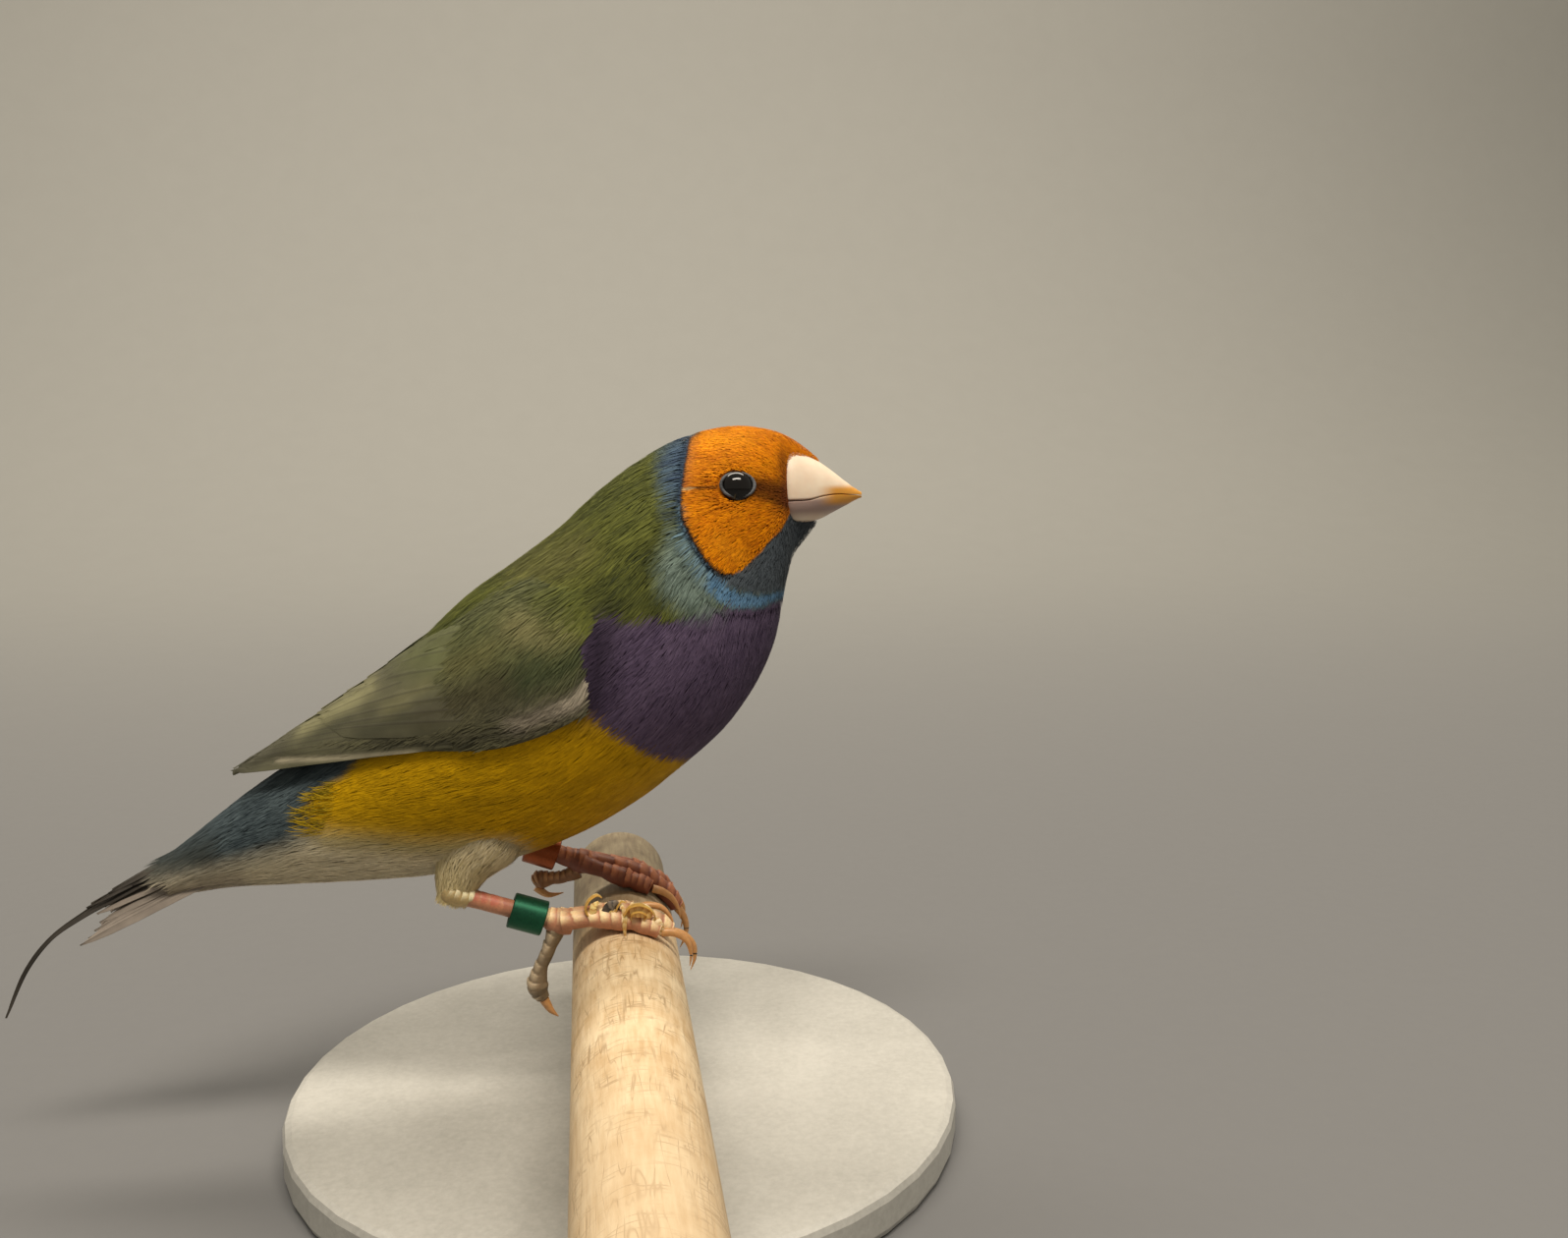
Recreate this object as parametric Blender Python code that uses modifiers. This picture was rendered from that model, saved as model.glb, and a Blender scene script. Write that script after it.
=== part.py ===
"""A life-size museum model of a male gouldian finch that grips a short wooden perch on a plain stand.

The bird faces +X and its middle plane is Y = 0. Its own sizes are in millimetres, measured from the top of
the perch (X = 0 over the perch's axis), and an empty lifts it to its place above the stand.
"""

import math

import bmesh
import bpy
from mathutils import Matrix, Vector

# GAP parts touching pieces and WELD joins loose caps, both in millimetres; RING_WELD is in metres.
MM = 0.001
GAP = 0.3
WELD = 0.002
SHARP_ANGLE = math.radians(40)
SHARE_STEP = 0.03
RING_WELD = 0.00002

BASE_RADIUS = 48.0
BASE_HEIGHT = 6.0
BASE_BEVEL = 1.2
BASE_SIDES = 44
ROD_RADIUS = 2.5
ROD_HEIGHT = 11.0
ROD_SIDES = 24
ROD_PLACES_Y = (-30.0, 24.0)
PERCH_RADIUS = 7.6
PERCH_NEAR_Y = -90.0
PERCH_FAR_Y = 37.0
PERCH_BEVEL = 0.8
PERCH_SIDES = 28
PERCH_TOP = BASE_HEIGHT + ROD_HEIGHT + 2 * PERCH_RADIUS
PERCH_AXIS_Z = PERCH_TOP - PERCH_RADIUS

# Body stations from the bill's root to the tail's root: back (x, z), belly (x, z), half width.
BODY = (
    ((28.6, 63.7), (28.3, 55.3), 1.2),
    ((26.3, 65.6), (26.6, 53.0), 2.5),
    ((23.6, 67.3), (24.6, 50.4), 4.0),
    ((20.3, 68.3), (23.6, 47.2), 6.7),
    ((16.3, 68.6), (23.0, 44.4), 8.5),
    ((11.8, 67.9), (22.5, 41.4), 9.5),
    ((7.0, 66.1), (21.7, 38.0), 10.6),
    ((1.8, 63.0), (20.2, 34.3), 12.4),
    ((-3.2, 59.1), (17.8, 30.2), 14.2),
    ((-8.6, 54.2), (14.2, 25.7), 15.6),
    ((-14.4, 49.9), (9.0, 21.2), 16.4),
    ((-20.6, 45.6), (2.4, 16.2), 16.6),
    ((-27.0, 39.6), (-6.0, 11.6), 16.0),
    ((-33.2, 33.4), (-15.5, 8.3), 14.4),
    ((-39.4, 27.6), (-25.5, 6.5), 12.0),
    ((-45.6, 22.6), (-35.5, 5.9), 9.2),
    ((-51.6, 18.4), (-45.5, 5.7), 6.8),
    ((-57.0, 14.2), (-54.0, 5.5), 4.8),
    ((-61.6, 10.6), (-60.2, 4.8), 3.8),
)
# The stations where the body is parted, then the rings and sides of each length between them.
HEAD_END = 6.3
NECK_END = 8.2
TORSO_END = 13.6
RUMP_END = 18.0
HEAD_RINGS, NECK_RINGS, TORSO_RINGS, RUMP_RINGS = 12, 5, 12, 9
HEAD_SIDES = 26
BODY_SIDES = 28

# The shell that the folded wings lie on: it follows the flanks and leaves the rump towards the wing tips.
WING_SHELL = (
    ((-3.2, 59.3), (17.8, 30.0), 14.6),
    ((-8.6, 54.5), (14.2, 25.5), 16.1),
    ((-14.4, 50.2), (9.0, 21.0), 16.9),
    ((-20.6, 45.7), (2.4, 16.0), 17.1),
    ((-27.0, 40.0), (-6.0, 11.4), 16.6),
    ((-33.8, 34.4), (-15.5, 8.1), 15.0),
    ((-40.4, 29.8), (-25.5, 8.0), 12.6),
    ((-46.8, 25.5), (-35.5, 10.5), 9.6),
    ((-53.0, 21.7), (-48.0, 14.5), 5.6),
    ((-58.0, 18.6), (-55.0, 14.5), 3.6),
)

# The folded wing's upper and lower edges seen from the side as (x, z), both from its front to its tip.
WING_UPPER = (
    (-8.0, 46.5), (-13.0, 47.9), (-20.0, 44.9), (-27.0, 39.2), (-33.8, 33.9), (-40.4, 29.4), (-46.8, 25.3),
    (-52.9, 21.7),
)
WING_LOWER = (
    (-4.9, 31.6), (-10.7, 29.0), (-17.2, 27.3), (-25.6, 26.9), (-33.5, 25.7), (-40.0, 25.1), (-46.5, 24.2),
    (-52.9, 21.4),
)
WING_FRONT_BULGE = 2.2
WING_FRONT_SHARE = 0.16
WING_INNER_LIFT = 0.2
WING_EDGE = 0.3
WING_SWELL = 0.95
WING_ARM_END = 0.62
WING_RINGS = 10
WING_STRIPS = 6

# Rows of wing feathers from the lowest one up: roots and tips as (x, z) seen from the side, then forms as
# half width, lift off the shell at root and tip, and rise of the middle.
WING_ROWS = {
    "primary": {
        "count": 7,
        "roots": ((-19.0, 29.2), (-25.0, 34.0)),
        "tips": ((-53.2, 21.6), (-44.5, 27.6)),
        "forms": ((1.35, 0.55, 0.45, 1.7), (2.1, 0.75, 0.9, 0.3)),
    },
    "secondary": {
        "count": 5,
        "roots": ((-17.5, 31.5), (-22.0, 38.0)),
        "tips": ((-36.5, 28.0), (-43.0, 29.0)),
        "forms": ((1.9, 0.9, 1.05, 0.3), (2.4, 1.1, 1.35, 0.6)),
    },
    "tertial": {
        "count": 3,
        "roots": ((-21.0, 38.5), (-18.5, 43.5)),
        "tips": ((-39.5, 31.3), (-31.5, 37.6)),
        "forms": ((2.8, 1.2, 1.5, 0.6), (2.6, 1.2, 1.5, 0.5)),
    },
    "greater_covert": {
        "count": 6,
        "roots": ((-9.0, 32.0), (-13.5, 44.6)),
        "tips": ((-22.0, 29.2), (-28.0, 38.6)),
        "forms": ((2.0, 1.0, 1.45, 0.2), (2.2, 1.1, 1.6, 0.3)),
    },
    "median_covert": {
        "count": 6,
        "roots": ((-6.6, 33.2), (-9.2, 45.4)),
        "tips": ((-13.5, 31.2), (-20.0, 42.6)),
        "forms": ((1.9, 0.9, 1.7, 0.1), (2.1, 0.9, 1.8, 0.2)),
    },
}

EYE_PLACE = (15.8, 60.7)
EYE_RADIUS = 2.3
EYE_BULGE = 0.7
LID_RING = 2.12
LID_THICKNESS = 0.32
LID_RISE = 0.1
LID_STRETCH = (1.06, 0.9)
LID_SIDES = 16

# Bill stations: x, culmen z, mouth z, lower edge z, half width.
BILL = (
    (21.6, 65.2, 58.1, 54.8, 3.9),
    (23.7, 65.6, 58.3, 54.5, 4.75),
    (26.2, 64.7, 58.4, 54.9, 4.2),
    (28.4, 63.5, 58.9, 55.5, 3.5),
    (30.4, 62.1, 59.1, 56.5, 2.7),
    (32.4, 60.6, 59.0, 57.5, 1.7),
    (33.7, 59.7, 58.9, 58.2, 0.9),
    (34.4, 59.3, 58.8, 58.45, 0.35),
)
BILL_ARC = 9
BILL_SEAT_SIDES = 16
BILL_SEAT_REACH = 2.0
NOSTRIL_PLACE = (24.9, 2.9, 64.1)
NOSTRIL_RADII = (0.58, 0.6, 0.45)

# A feather's outline: share of its length, share of its half width.
VANE_OUTLINE = ((0.0, 0.6), (0.5, 1.0), (0.88, 0.76), (1.0, 0.18))
VANE_THICKNESS = 0.56
VANE_EDGE = 0.3

# The middle tail feathers, drawn out into long threads: x, z of their middle line, half widths along it, and
# how far apart they lie (what falls off as a square, what falls off evenly, what stays at the end).
THREAD_PATH = (
    (-61.4, 8.9), (-65.0, 7.1), (-69.0, 5.0), (-73.5, 2.5), (-78.1, -0.8), (-81.7, -5.4), (-84.6, -11.9),
)
THREAD_OUTLINE = (
    (0.0, 2.2), (0.14, 2.5), (0.28, 2.1), (0.4, 1.35), (0.5, 0.8), (0.62, 0.6), (0.73, 0.52), (0.83, 0.46),
    (0.92, 0.38), (1.0, 0.22),
)
THREAD_SPREAD = (1.5, 0.28, 0.1)
THREAD_THICKNESS = 0.6
THREAD_LEAN = 24

# The uppermost side feather of the tail: root, tip and lean in degrees, then how each next one differs.
SIDE_FEATHERS = 5
SIDE_HALF_WIDTH = 1.25
SIDE_BOW = 0.35
SIDE_OUTLINE = ((0.0, 0.8), (0.4, 1.0), (0.74, 0.75), (0.92, 0.36), (1.0, 0.12))
SIDE_ROOT = ((-61.3, -1.6, 7.2), (0.0, -0.35, -0.5))
SIDE_TIP = ((-75.9, -1.7, 1.9), (0.4, -0.6, -0.56))
SIDE_LEAN = (24, 4)

# Each leg: its Y, its joints as (x, z), the share of the shank where its ring hangs, the hind toe and its
# claw as (x, z), the middle toe's end in degrees round the perch, and how far its claws arch.
LEGS = {
    "right": {
        "y": -9.0,
        "hip": (-14.5, 14.5),
        "hock": (-23.0, 5.8),
        "foot": (-9.6, 1.3),
        "ring": "ring_green",
        "ring_share": 0.72,
        "hind_toe": ((-9.4, 0.6), (-10.6, -2.4), (-11.9, -5.4), (-12.3, -7.8), (-11.6, -9.6)),
        "hind_claw": ((-11.3, -10.2), (-10.6, -11.4), (-9.6, -12.4)),
        "reach": 48.0,
        "claw_arch": 1.0,
    },
    "left": {
        "y": 8.8,
        "hip": (-12.5, 16.0),
        "hock": (-20.5, 9.2),
        "foot": (-6.6, 4.1),
        "ring": "ring_orange",
        "ring_share": 0.54,
        "hind_toe": ((-6.6, 2.5), (-8.8, 1.6), (-10.8, 1.4), (-12.3, 1.2), (-13.1, 0.7)),
        "hind_claw": ((-12.9, -0.1), (-11.2, -1.1), (-8.9, -0.9)),
        "reach": 26.0,
        "claw_arch": 0.45,
    },
}
# The thigh's knee lies on the way from hip to hock and a little off it; its radii run from hip to hock.
KNEE_SHARE = 0.55
KNEE_OFFSET = (-1.2, 0.0, 0.6)
THIGH_RADII = (6.4, 6.0, 4.7, 3.3, 2.2)
THIGH_FLATNESS = 0.72
THIGH_SKIRT = 1.2
HOCK_RADII = (2.35, 1.75, 2.0)
THIGH_CUT = 0.45
SHANK_SEAT_RADIUS = 1.9
SHANK_SEAT_DEPTH = 6.0
SHANK_FOOT_SHARE = 0.9
TARSUS_RADIUS = 1.25
TARSUS_SHAPE = (1.15, 0.92, 1.05)
TARSUS_SCUTES = 6
TARSUS_SWELL = 1.08

PAD_RADII = (1.75, 1.7, 1.35)
TOE_RADIUS = 1.12
TOE_CLEARANCE = 0.15
TOE_SHARES = (0.06, 0.25, 0.5, 0.75, 1.0)
TOE_SHAPE = (1.12, 1.0, 1.12, 0.98, 1.0)
TOE_SCUTES = 4
HIND_TOE_SHAPE = (1.2, 1.0, 1.0, 1.05, 1.0)
HIND_TOE_SCUTES = 3
HIND_TOE_END = 1.21
HIND_TOE_SHIFT = 0.2
SCUTE_SWELL = 1.1
SCUTE_SHARE = 0.86
SCUTE_WAIST = 0.97
FOOT_SEAT_RADIUS = 2.2
FOOT_SEAT_DEPTH = 4.0
# The three front toes: sideways start and end (positive towards the middle plane), share of the reach.
FRONT_TOES = {"inner": (0.9, 3.2, 0.6), "middle": (0.0, 0.3, 1.0), "outer": (-0.9, -2.9, 0.86)}
# A front claw's middle line: degrees round the perch past the toe's end, rise off the toe's own arc.
CLAW_LINE = ((4, 0.1), (13, 0.9), (24, 1.2), (35, 0.7), (44, -0.1))
CLAW_RADII = (0.72, 0.62, 0.5, 0.34, 0.1)
HIND_CLAW_RADII = (0.7, 0.46, 0.12)

RING_INNER = 1.85
RING_OUTER = 2.4
RING_LENGTH = 4.7
RING_STEPS = 24
RING_SHANK = 1.4

COLOURS = {
    "mask": "D9730B",
    "nape": "5F7A30",
    "breast": "4A3159",
    "rump": "46606E",
    "bill": "E8D3BC",
    "eye": "0B0A0B",
    "wing": "5C6236",
    "tail_dark": "2A2A2C",
    "tail_pale": "8C8069",
    "thigh": "A9A183",
    "leg": "D08A66",
    "claw": "B88F52",
    "ring_green": "0E4A38",
    "ring_orange": "A8481C",
    "perch": "CBA775",
    "stand": "C9C7C0",
    "rod": "8F8C86",
}


def linear(hex_colour):
    """Turns an sRGB hex colour into the linear RGBA that a shader takes."""
    channels = [int(hex_colour[i : i + 2], 16) / 255 for i in (0, 2, 4)]
    return [c / 12.92 if c <= 0.04045 else ((c + 0.055) / 1.055) ** 2.4 for c in channels] + [1.0]


def make_material(name, roughness=0.6, metallic=0.0):
    """A Principled BSDF in one of the bird's colours."""
    material = bpy.data.materials.get(name)
    if material is None:
        material = bpy.data.materials.new(name)
        material.use_nodes = True
        shader = material.node_tree.nodes["Principled BSDF"]
        shader.inputs["Base Color"].default_value = linear(COLOURS[name])
        shader.inputs["Roughness"].default_value = roughness
        shader.inputs["Metallic"].default_value = metallic
    return material


def smooth_step(values, place):
    """Reads a list of tuples at a fractional index along a smooth curve through them."""
    last = len(values) - 1
    place = min(max(place, 0.0), last)
    i = min(int(place), last - 1)
    t = place - i
    before, here, after, beyond = (values[min(max(j, 0), last)] for j in (i - 1, i, i + 1, i + 2))
    return tuple(
        0.5 * (2 * b + (c - a) * t + (2 * a - 5 * b + 4 * c - d) * t**2 + (3 * b - a - 3 * c + d) * t**3)
        for a, b, c, d in zip(before, here, after, beyond)
    )


def section(stations, place):
    """Centre, up direction, half height and half width of the cross section at a fractional station."""
    values = [(*back, *belly, width) for back, belly, width in stations]
    back_x, back_z, belly_x, belly_z, width = smooth_step(values, place)
    back, belly = Vector((back_x, 0, back_z)), Vector((belly_x, 0, belly_z))
    return (back + belly) / 2, (back - belly).normalized(), (back - belly).length / 2, width


def ahead_of(up):
    """The direction across a section, towards the bill."""
    return Vector((up.z, 0, -up.x))


def surface_point(stations, place, turn, lift=0.0):
    """A point on the body at an angle from the back (positive to the bird's right), lifted off it."""
    centre, up, height, width = section(stations, place)
    side = Vector((0, -1, 0))
    point = centre + up * height * math.cos(turn) + side * width * math.sin(turn)
    outward = (up * width * math.cos(turn) + side * height * math.sin(turn)).normalized()
    return point + outward * lift


def surface_normal(stations, place, turn):
    """The outward direction of the body there, from neighbouring points."""
    step = 0.05
    along = surface_point(stations, place + step, turn) - surface_point(stations, place - step, turn)
    around = surface_point(stations, place, turn + step) - surface_point(stations, place, turn - step)
    normal = around.cross(along).normalized()
    outward = surface_point(stations, place, turn, 1.0) - surface_point(stations, place, turn)
    return normal if normal.dot(outward) > 0 else -normal


def side_place(stations, x, z):
    """Finds the station and the angle whose point shows at (x, z) from the bird's right."""
    target = Vector((x, 0, z))
    low, high = 0.0, len(stations) - 1.0
    for _ in range(40):
        middle = (low + high) / 2
        centre, up, _height, _width = section(stations, middle)
        if (target - centre).dot(ahead_of(up)) > 0:
            high = middle
        else:
            low = middle
    centre, up, height, _width = section(stations, low)
    share = (target - centre).dot(up) / height
    return low, math.acos(min(max(share, -0.995), 0.995))


def shade(mesh):
    """Shades a mesh smooth but for its sharp edges."""
    mesh.shade_smooth()
    mesh.set_sharp_from_angle(angle=SHARP_ANGLE)


def object_from(builder, name):
    """Makes an object of a finished bmesh."""
    mesh = bpy.data.meshes.new(name)
    builder.to_mesh(mesh)
    builder.free()
    shade(mesh)
    return bpy.data.objects.new(name, mesh)


def solid_from(builder, name):
    """Turns a bmesh in millimetres into an object in metres, with its faces pointing out."""
    bmesh.ops.remove_doubles(builder, verts=builder.verts, dist=WELD)
    bmesh.ops.recalc_face_normals(builder, faces=builder.faces)
    bmesh.ops.scale(builder, vec=(MM, MM, MM), verts=builder.verts)
    return object_from(builder, name)


def link(obj, name, material, parent=None):
    """Puts an object in the finch collection with its name, material and parent."""
    obj.name = name
    bpy.data.collections["gouldian_finch"].objects.link(obj)
    obj.data.materials.clear()
    obj.data.materials.append(material)
    obj.parent = parent


def loft(name, rings):
    """A closed solid through rings of points that have the same count, with flat ends."""
    builder = bmesh.new()
    rows = [[builder.verts.new(p) for p in ring] for ring in rings]
    count = len(rows[0])
    for row, following in zip(rows, rows[1:]):
        for j in range(count):
            k = (j + 1) % count
            builder.faces.new((row[j], row[k], following[k], following[j]))
    builder.faces.new(rows[0])
    builder.faces.new(rows[-1])
    return solid_from(builder, name)


def tube(name, points, radii, resolution=2, cyclic=False, flatness=1.0):
    """A tapered wire along points in millimetres; flatness squeezes it across Y about its first point."""
    curve = bpy.data.curves.new(name, "CURVE")
    curve.dimensions = "3D"
    curve.bevel_depth = 1.0
    curve.bevel_resolution = resolution
    curve.use_fill_caps = not cyclic
    spline = curve.splines.new("POLY")
    spline.points.add(len(points) - 1)
    spline.use_cyclic_u = cyclic
    for spot, point, radius in zip(spline.points, points, radii):
        spot.co = (*point, 1)
        spot.radius = radius
    wire = bpy.data.objects.new(name, curve)
    builder = bmesh.new()
    builder.from_mesh(bpy.data.meshes.new_from_object(wire))
    bpy.data.objects.remove(wire)
    around_root = Matrix.Translation(-Vector(points[0]))
    bmesh.ops.scale(builder, vec=(1, flatness, 1), space=around_root, verts=builder.verts)
    return solid_from(builder, name)


def cylinder(name, radius, start, end, sides, bevel=0.0):
    """A cylinder between two points in millimetres."""
    start, end = Vector(start), Vector(end)
    builder = bmesh.new()
    bmesh.ops.create_cone(
        builder, cap_ends=True, segments=sides, radius1=radius, radius2=radius, depth=(end - start).length
    )
    if bevel:
        rims = [e for e in builder.edges if abs(e.verts[0].co.z - e.verts[1].co.z) < WELD]
        bmesh.ops.bevel(
            builder, geom=rims, offset=bevel, segments=2, profile=0.5, affect="EDGES", material=-1
        )
    turn = (end - start).to_track_quat("Z", "Y").to_matrix().to_4x4()
    bmesh.ops.transform(builder, matrix=Matrix.Translation((start + end) / 2) @ turn, verts=builder.verts)
    return solid_from(builder, name)


def ball(name, centre, radii, segments=14, rings=10):
    """An ellipsoid at a point in millimetres, its poles across the body."""
    builder = bmesh.new()
    bmesh.ops.create_uvsphere(builder, u_segments=segments, v_segments=rings, radius=1.0)
    bmesh.ops.rotate(
        builder, matrix=Matrix.Rotation(math.pi / 2, 3, "X"), cent=(0, 0, 0), verts=builder.verts
    )
    bmesh.ops.scale(builder, vec=radii, verts=builder.verts)
    bmesh.ops.translate(builder, vec=centre, verts=builder.verts)
    return solid_from(builder, name)


def apply_boolean(base, others, operation, solver="EXACT"):
    """Joins or cuts base with other objects in one Boolean, then removes them."""
    group = bpy.data.collections.new("pieces_of_" + base.name)
    bpy.context.scene.collection.children.link(group)
    bpy.context.scene.collection.objects.link(base)
    for other in others:
        group.objects.link(other)
    modifier = base.modifiers.new("join", "BOOLEAN")
    modifier.operand_type = "COLLECTION"
    modifier.collection = group
    modifier.operation = operation
    modifier.solver = solver
    bpy.context.view_layer.update()
    result = bpy.data.meshes.new_from_object(base.evaluated_get(bpy.context.evaluated_depsgraph_get()))
    base.modifiers.clear()
    base.data = result
    bpy.context.scene.collection.objects.unlink(base)
    for other in list(group.objects):
        bpy.data.objects.remove(other)
    bpy.data.collections.remove(group)
    keep_largest(base)
    return base


def connected(vertex):
    """All vertices of the surface that a vertex belongs to."""
    group, waiting = {vertex}, [vertex]
    while waiting:
        for edge in waiting.pop().link_edges:
            for other in edge.verts:
                if other not in group:
                    group.add(other)
                    waiting.append(other)
    return group


def keep_largest(obj):
    """Keeps the largest closed surface of an object, which drops loose scraps and sealed hollows."""
    builder = bmesh.new()
    builder.from_mesh(obj.data)
    bmesh.ops.triangulate(builder, faces=[f for f in builder.faces if len(f.verts) > 4])
    left, largest = set(builder.verts), set()
    while left:
        group = connected(next(iter(left)))
        left -= group
        largest = max(largest, group, key=len)
    loose = [v for v in builder.verts if v not in largest]
    bmesh.ops.delete(builder, geom=loose, context="VERTS")
    builder.to_mesh(obj.data)
    builder.free()
    shade(obj.data)


def mirrored(obj):
    """The same piece on the bird's other side."""
    builder = bmesh.new()
    builder.from_mesh(obj.data)
    bmesh.ops.scale(builder, vec=(1, -1, 1), verts=builder.verts)
    bmesh.ops.reverse_faces(builder, faces=builder.faces)
    return object_from(builder, "mirrored")


def grown_copy(obj):
    """A copy of a solid pushed out along its normals by the gap, for cutting what grows from it."""
    builder = bmesh.new()
    builder.from_mesh(obj.data)
    builder.normal_update()
    for vertex in builder.verts:
        vertex.co += vertex.normal * GAP * MM
    return object_from(builder, "cutter")


def body_length(name, start, end, rings, sides, grow=0.0, trim=GAP / 2):
    """One length of the body between two stations, trimmed so that its neighbours stay clear."""
    rows = []
    for i in range(rings + 1):
        place = start + (end - start) * i / rings
        _centre, up, _height, _width = section(BODY, place)
        inwards = {0: -trim, rings: trim}.get(i, 0.0)
        shift = ahead_of(up) * inwards
        rows.append([surface_point(BODY, place, math.tau * j / sides, grow) + shift for j in range(sides)])
    return loft(name, rows)


def vane(name, path, normals, half_width, thickness=VANE_THICKNESS, outline=VANE_OUTLINE):
    """A flat feather along a path, split into triangles alike on both faces.

    path and normals are functions of the share of the length.
    """
    builder = bmesh.new()
    rows = []
    for share, breadth in outline:
        centre, normal = path(share), normals(share)
        ahead, behind = path(min(share + SHARE_STEP, 1.0)), path(max(share - SHARE_STEP, 0.0))
        across = normal.cross((ahead - behind).normalized()).normalized() * half_width * breadth
        row = []
        for side, face in ((-1, 1), (0, 1), (1, 1), (1, -1), (0, -1), (-1, -1)):
            depth = thickness if side == 0 else VANE_EDGE
            row.append(builder.verts.new(centre + across * side + normal * face * depth / 2))
        rows.append(row)
    for row, after in zip(rows, rows[1:]):
        for a, b in ((0, 1), (1, 2), (2, 3), (5, 0)):
            builder.faces.new((row[a], row[b], after[b]))
            builder.faces.new((row[a], after[b], after[a]))
        for a, b in ((5, 4), (4, 3)):
            builder.faces.new((row[b], row[a], after[b]))
            builder.faces.new((row[a], after[a], after[b]))
    for row in (rows[0], rows[-1]):
        builder.faces.new((row[0], row[1], row[4], row[5]))
        builder.faces.new((row[1], row[2], row[3], row[4]))
    return solid_from(builder, name)


def wing_spot(along, across):
    """Station and angle of a spot on the folded wing, from its upper edge (0) to its lower edge (1)."""
    upper, lower = (smooth_step(edge, along * (len(edge) - 1)) for edge in (WING_UPPER, WING_LOWER))
    x, z = (a + (b - a) * across for a, b in zip(upper, lower))
    x += WING_FRONT_BULGE * math.sin(math.pi * across) * max(1 - along / WING_FRONT_SHARE, 0) ** 2
    return side_place(WING_SHELL, x, z)


def wing_arm():
    """The plain down of the right wing: a pillow on the wing shell, thickest in its middle."""
    rows = []
    for i in range(WING_RINGS + 1):
        along = WING_ARM_END * i / WING_RINGS
        swell = WING_SWELL * min(along / WING_FRONT_SHARE, 1) ** 0.5 * (1 - (i / WING_RINGS) ** 4)
        outer, inner = [], []
        for j in range(WING_STRIPS + 1):
            across = j / WING_STRIPS
            place, turn = wing_spot(along, across)
            lift = WING_INNER_LIFT + WING_EDGE + swell * (1 - abs(2 * across - 1) ** 2.5)
            outer.append(surface_point(WING_SHELL, place, turn, lift))
            inner.append(surface_point(WING_SHELL, place, turn, WING_INNER_LIFT))
        rows.append(outer + inner[::-1])
    return loft("wing_arm", rows)


def folded_feather(name, root, tip, half_width, lifts, bow):
    """A wing feather on the wing shell; root and tip are (x, z) seen from the side, bow raises its middle."""

    def spot(share):
        x = root[0] + (tip[0] - root[0]) * share
        z = root[1] + (tip[1] - root[1]) * share + bow * 4 * share * (1 - share)
        return side_place(WING_SHELL, x, z)

    def path(share):
        return surface_point(WING_SHELL, *spot(share), lifts[0] + (lifts[1] - lifts[0]) * share)

    def normals(share):
        return surface_normal(WING_SHELL, *spot(share))

    return vane(name, path, normals, half_width)


def feather_row(name, row):
    """Folded feathers whose roots, tips, half widths, lifts and bows run evenly between two ends."""
    feathers = []
    for i in range(row["count"]):
        share = i / (row["count"] - 1)
        root, tip, (width, low, high, bow) = (
            tuple(a + (b - a) * share for a, b in zip(*row[key])) for key in ("roots", "tips", "forms")
        )
        feathers.append(folded_feather(f"{name}_{i}", root, tip, width, (low, high), bow))
    return feathers


def left_half():
    """A block over the bird's left half that parts the right wing from the left one at the back."""
    size = 100.0
    builder = bmesh.new()
    bmesh.ops.create_cube(builder, size=size)
    bmesh.ops.translate(builder, vec=(WING_UPPER[-1][0], (size - GAP) / 2, 0), verts=builder.verts)
    return solid_from(builder, "left_half")


def build_wings(parent):
    """Both folded wings: an arm of plain down with the rows of quills and coverts that grow from it."""
    right = wing_arm()
    feathers = [f for name, row in WING_ROWS.items() for f in feather_row(name, row)]
    apply_boolean(right, feathers, "UNION", "MANIFOLD")
    apply_boolean(right, [left_half()], "DIFFERENCE", "MANIFOLD")
    left = mirrored(right)
    link(right, "wing_right", make_material("wing"), parent)
    link(left, "wing_left", make_material("wing"), parent)


def bill_half(name, upper):
    """The upper or the lower bill, parted from the other by the line of the mouth."""
    rings = []
    for x, top, mouth, bottom, width in BILL:
        flat = mouth + GAP / 2 if upper else mouth - GAP / 2
        height = top - flat if upper else bottom - flat
        turns = [math.pi * j / BILL_ARC for j in range(BILL_ARC + 1)]
        rings.append([Vector((x, math.cos(turn) * width, flat + height * math.sin(turn))) for turn in turns])
    return loft(name, rings)


def bill_seat():
    """The cutter for the bill's seat in the head: both halves together, a gap larger all round."""
    stations = [list(station) for station in (*BILL, BILL[-1])]
    stations[0][0] -= GAP
    stations[-1][0] += BILL_SEAT_REACH
    rings = []
    for x, top, mouth, bottom, width in stations:
        ring = []
        for j in range(BILL_SEAT_SIDES):
            across, rise = math.cos(math.tau * j / BILL_SEAT_SIDES), math.sin(math.tau * j / BILL_SEAT_SIDES)
            height = (top - mouth if rise > 0 else mouth - bottom) + GAP
            ring.append(Vector((x, across * (width + GAP), mouth + rise * height)))
        rings.append(ring)
    return loft("seat", rings)


def eye_lid(at, out):
    """The ring of bare skin round an eye, as a wire bent to an oval on the side of the head."""
    across = out.cross(Vector((0, 0, 1))).normalized()
    up = across.cross(out)
    wide, high = (LID_RING * stretch for stretch in LID_STRETCH)
    points = []
    for i in range(LID_SIDES):
        turn = math.tau * i / LID_SIDES
        points.append(at + across * wide * math.cos(turn) + up * high * math.sin(turn) + out * LID_RISE)
    return tube("lid", points, [LID_THICKNESS] * LID_SIDES, 1, cyclic=True)


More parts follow.
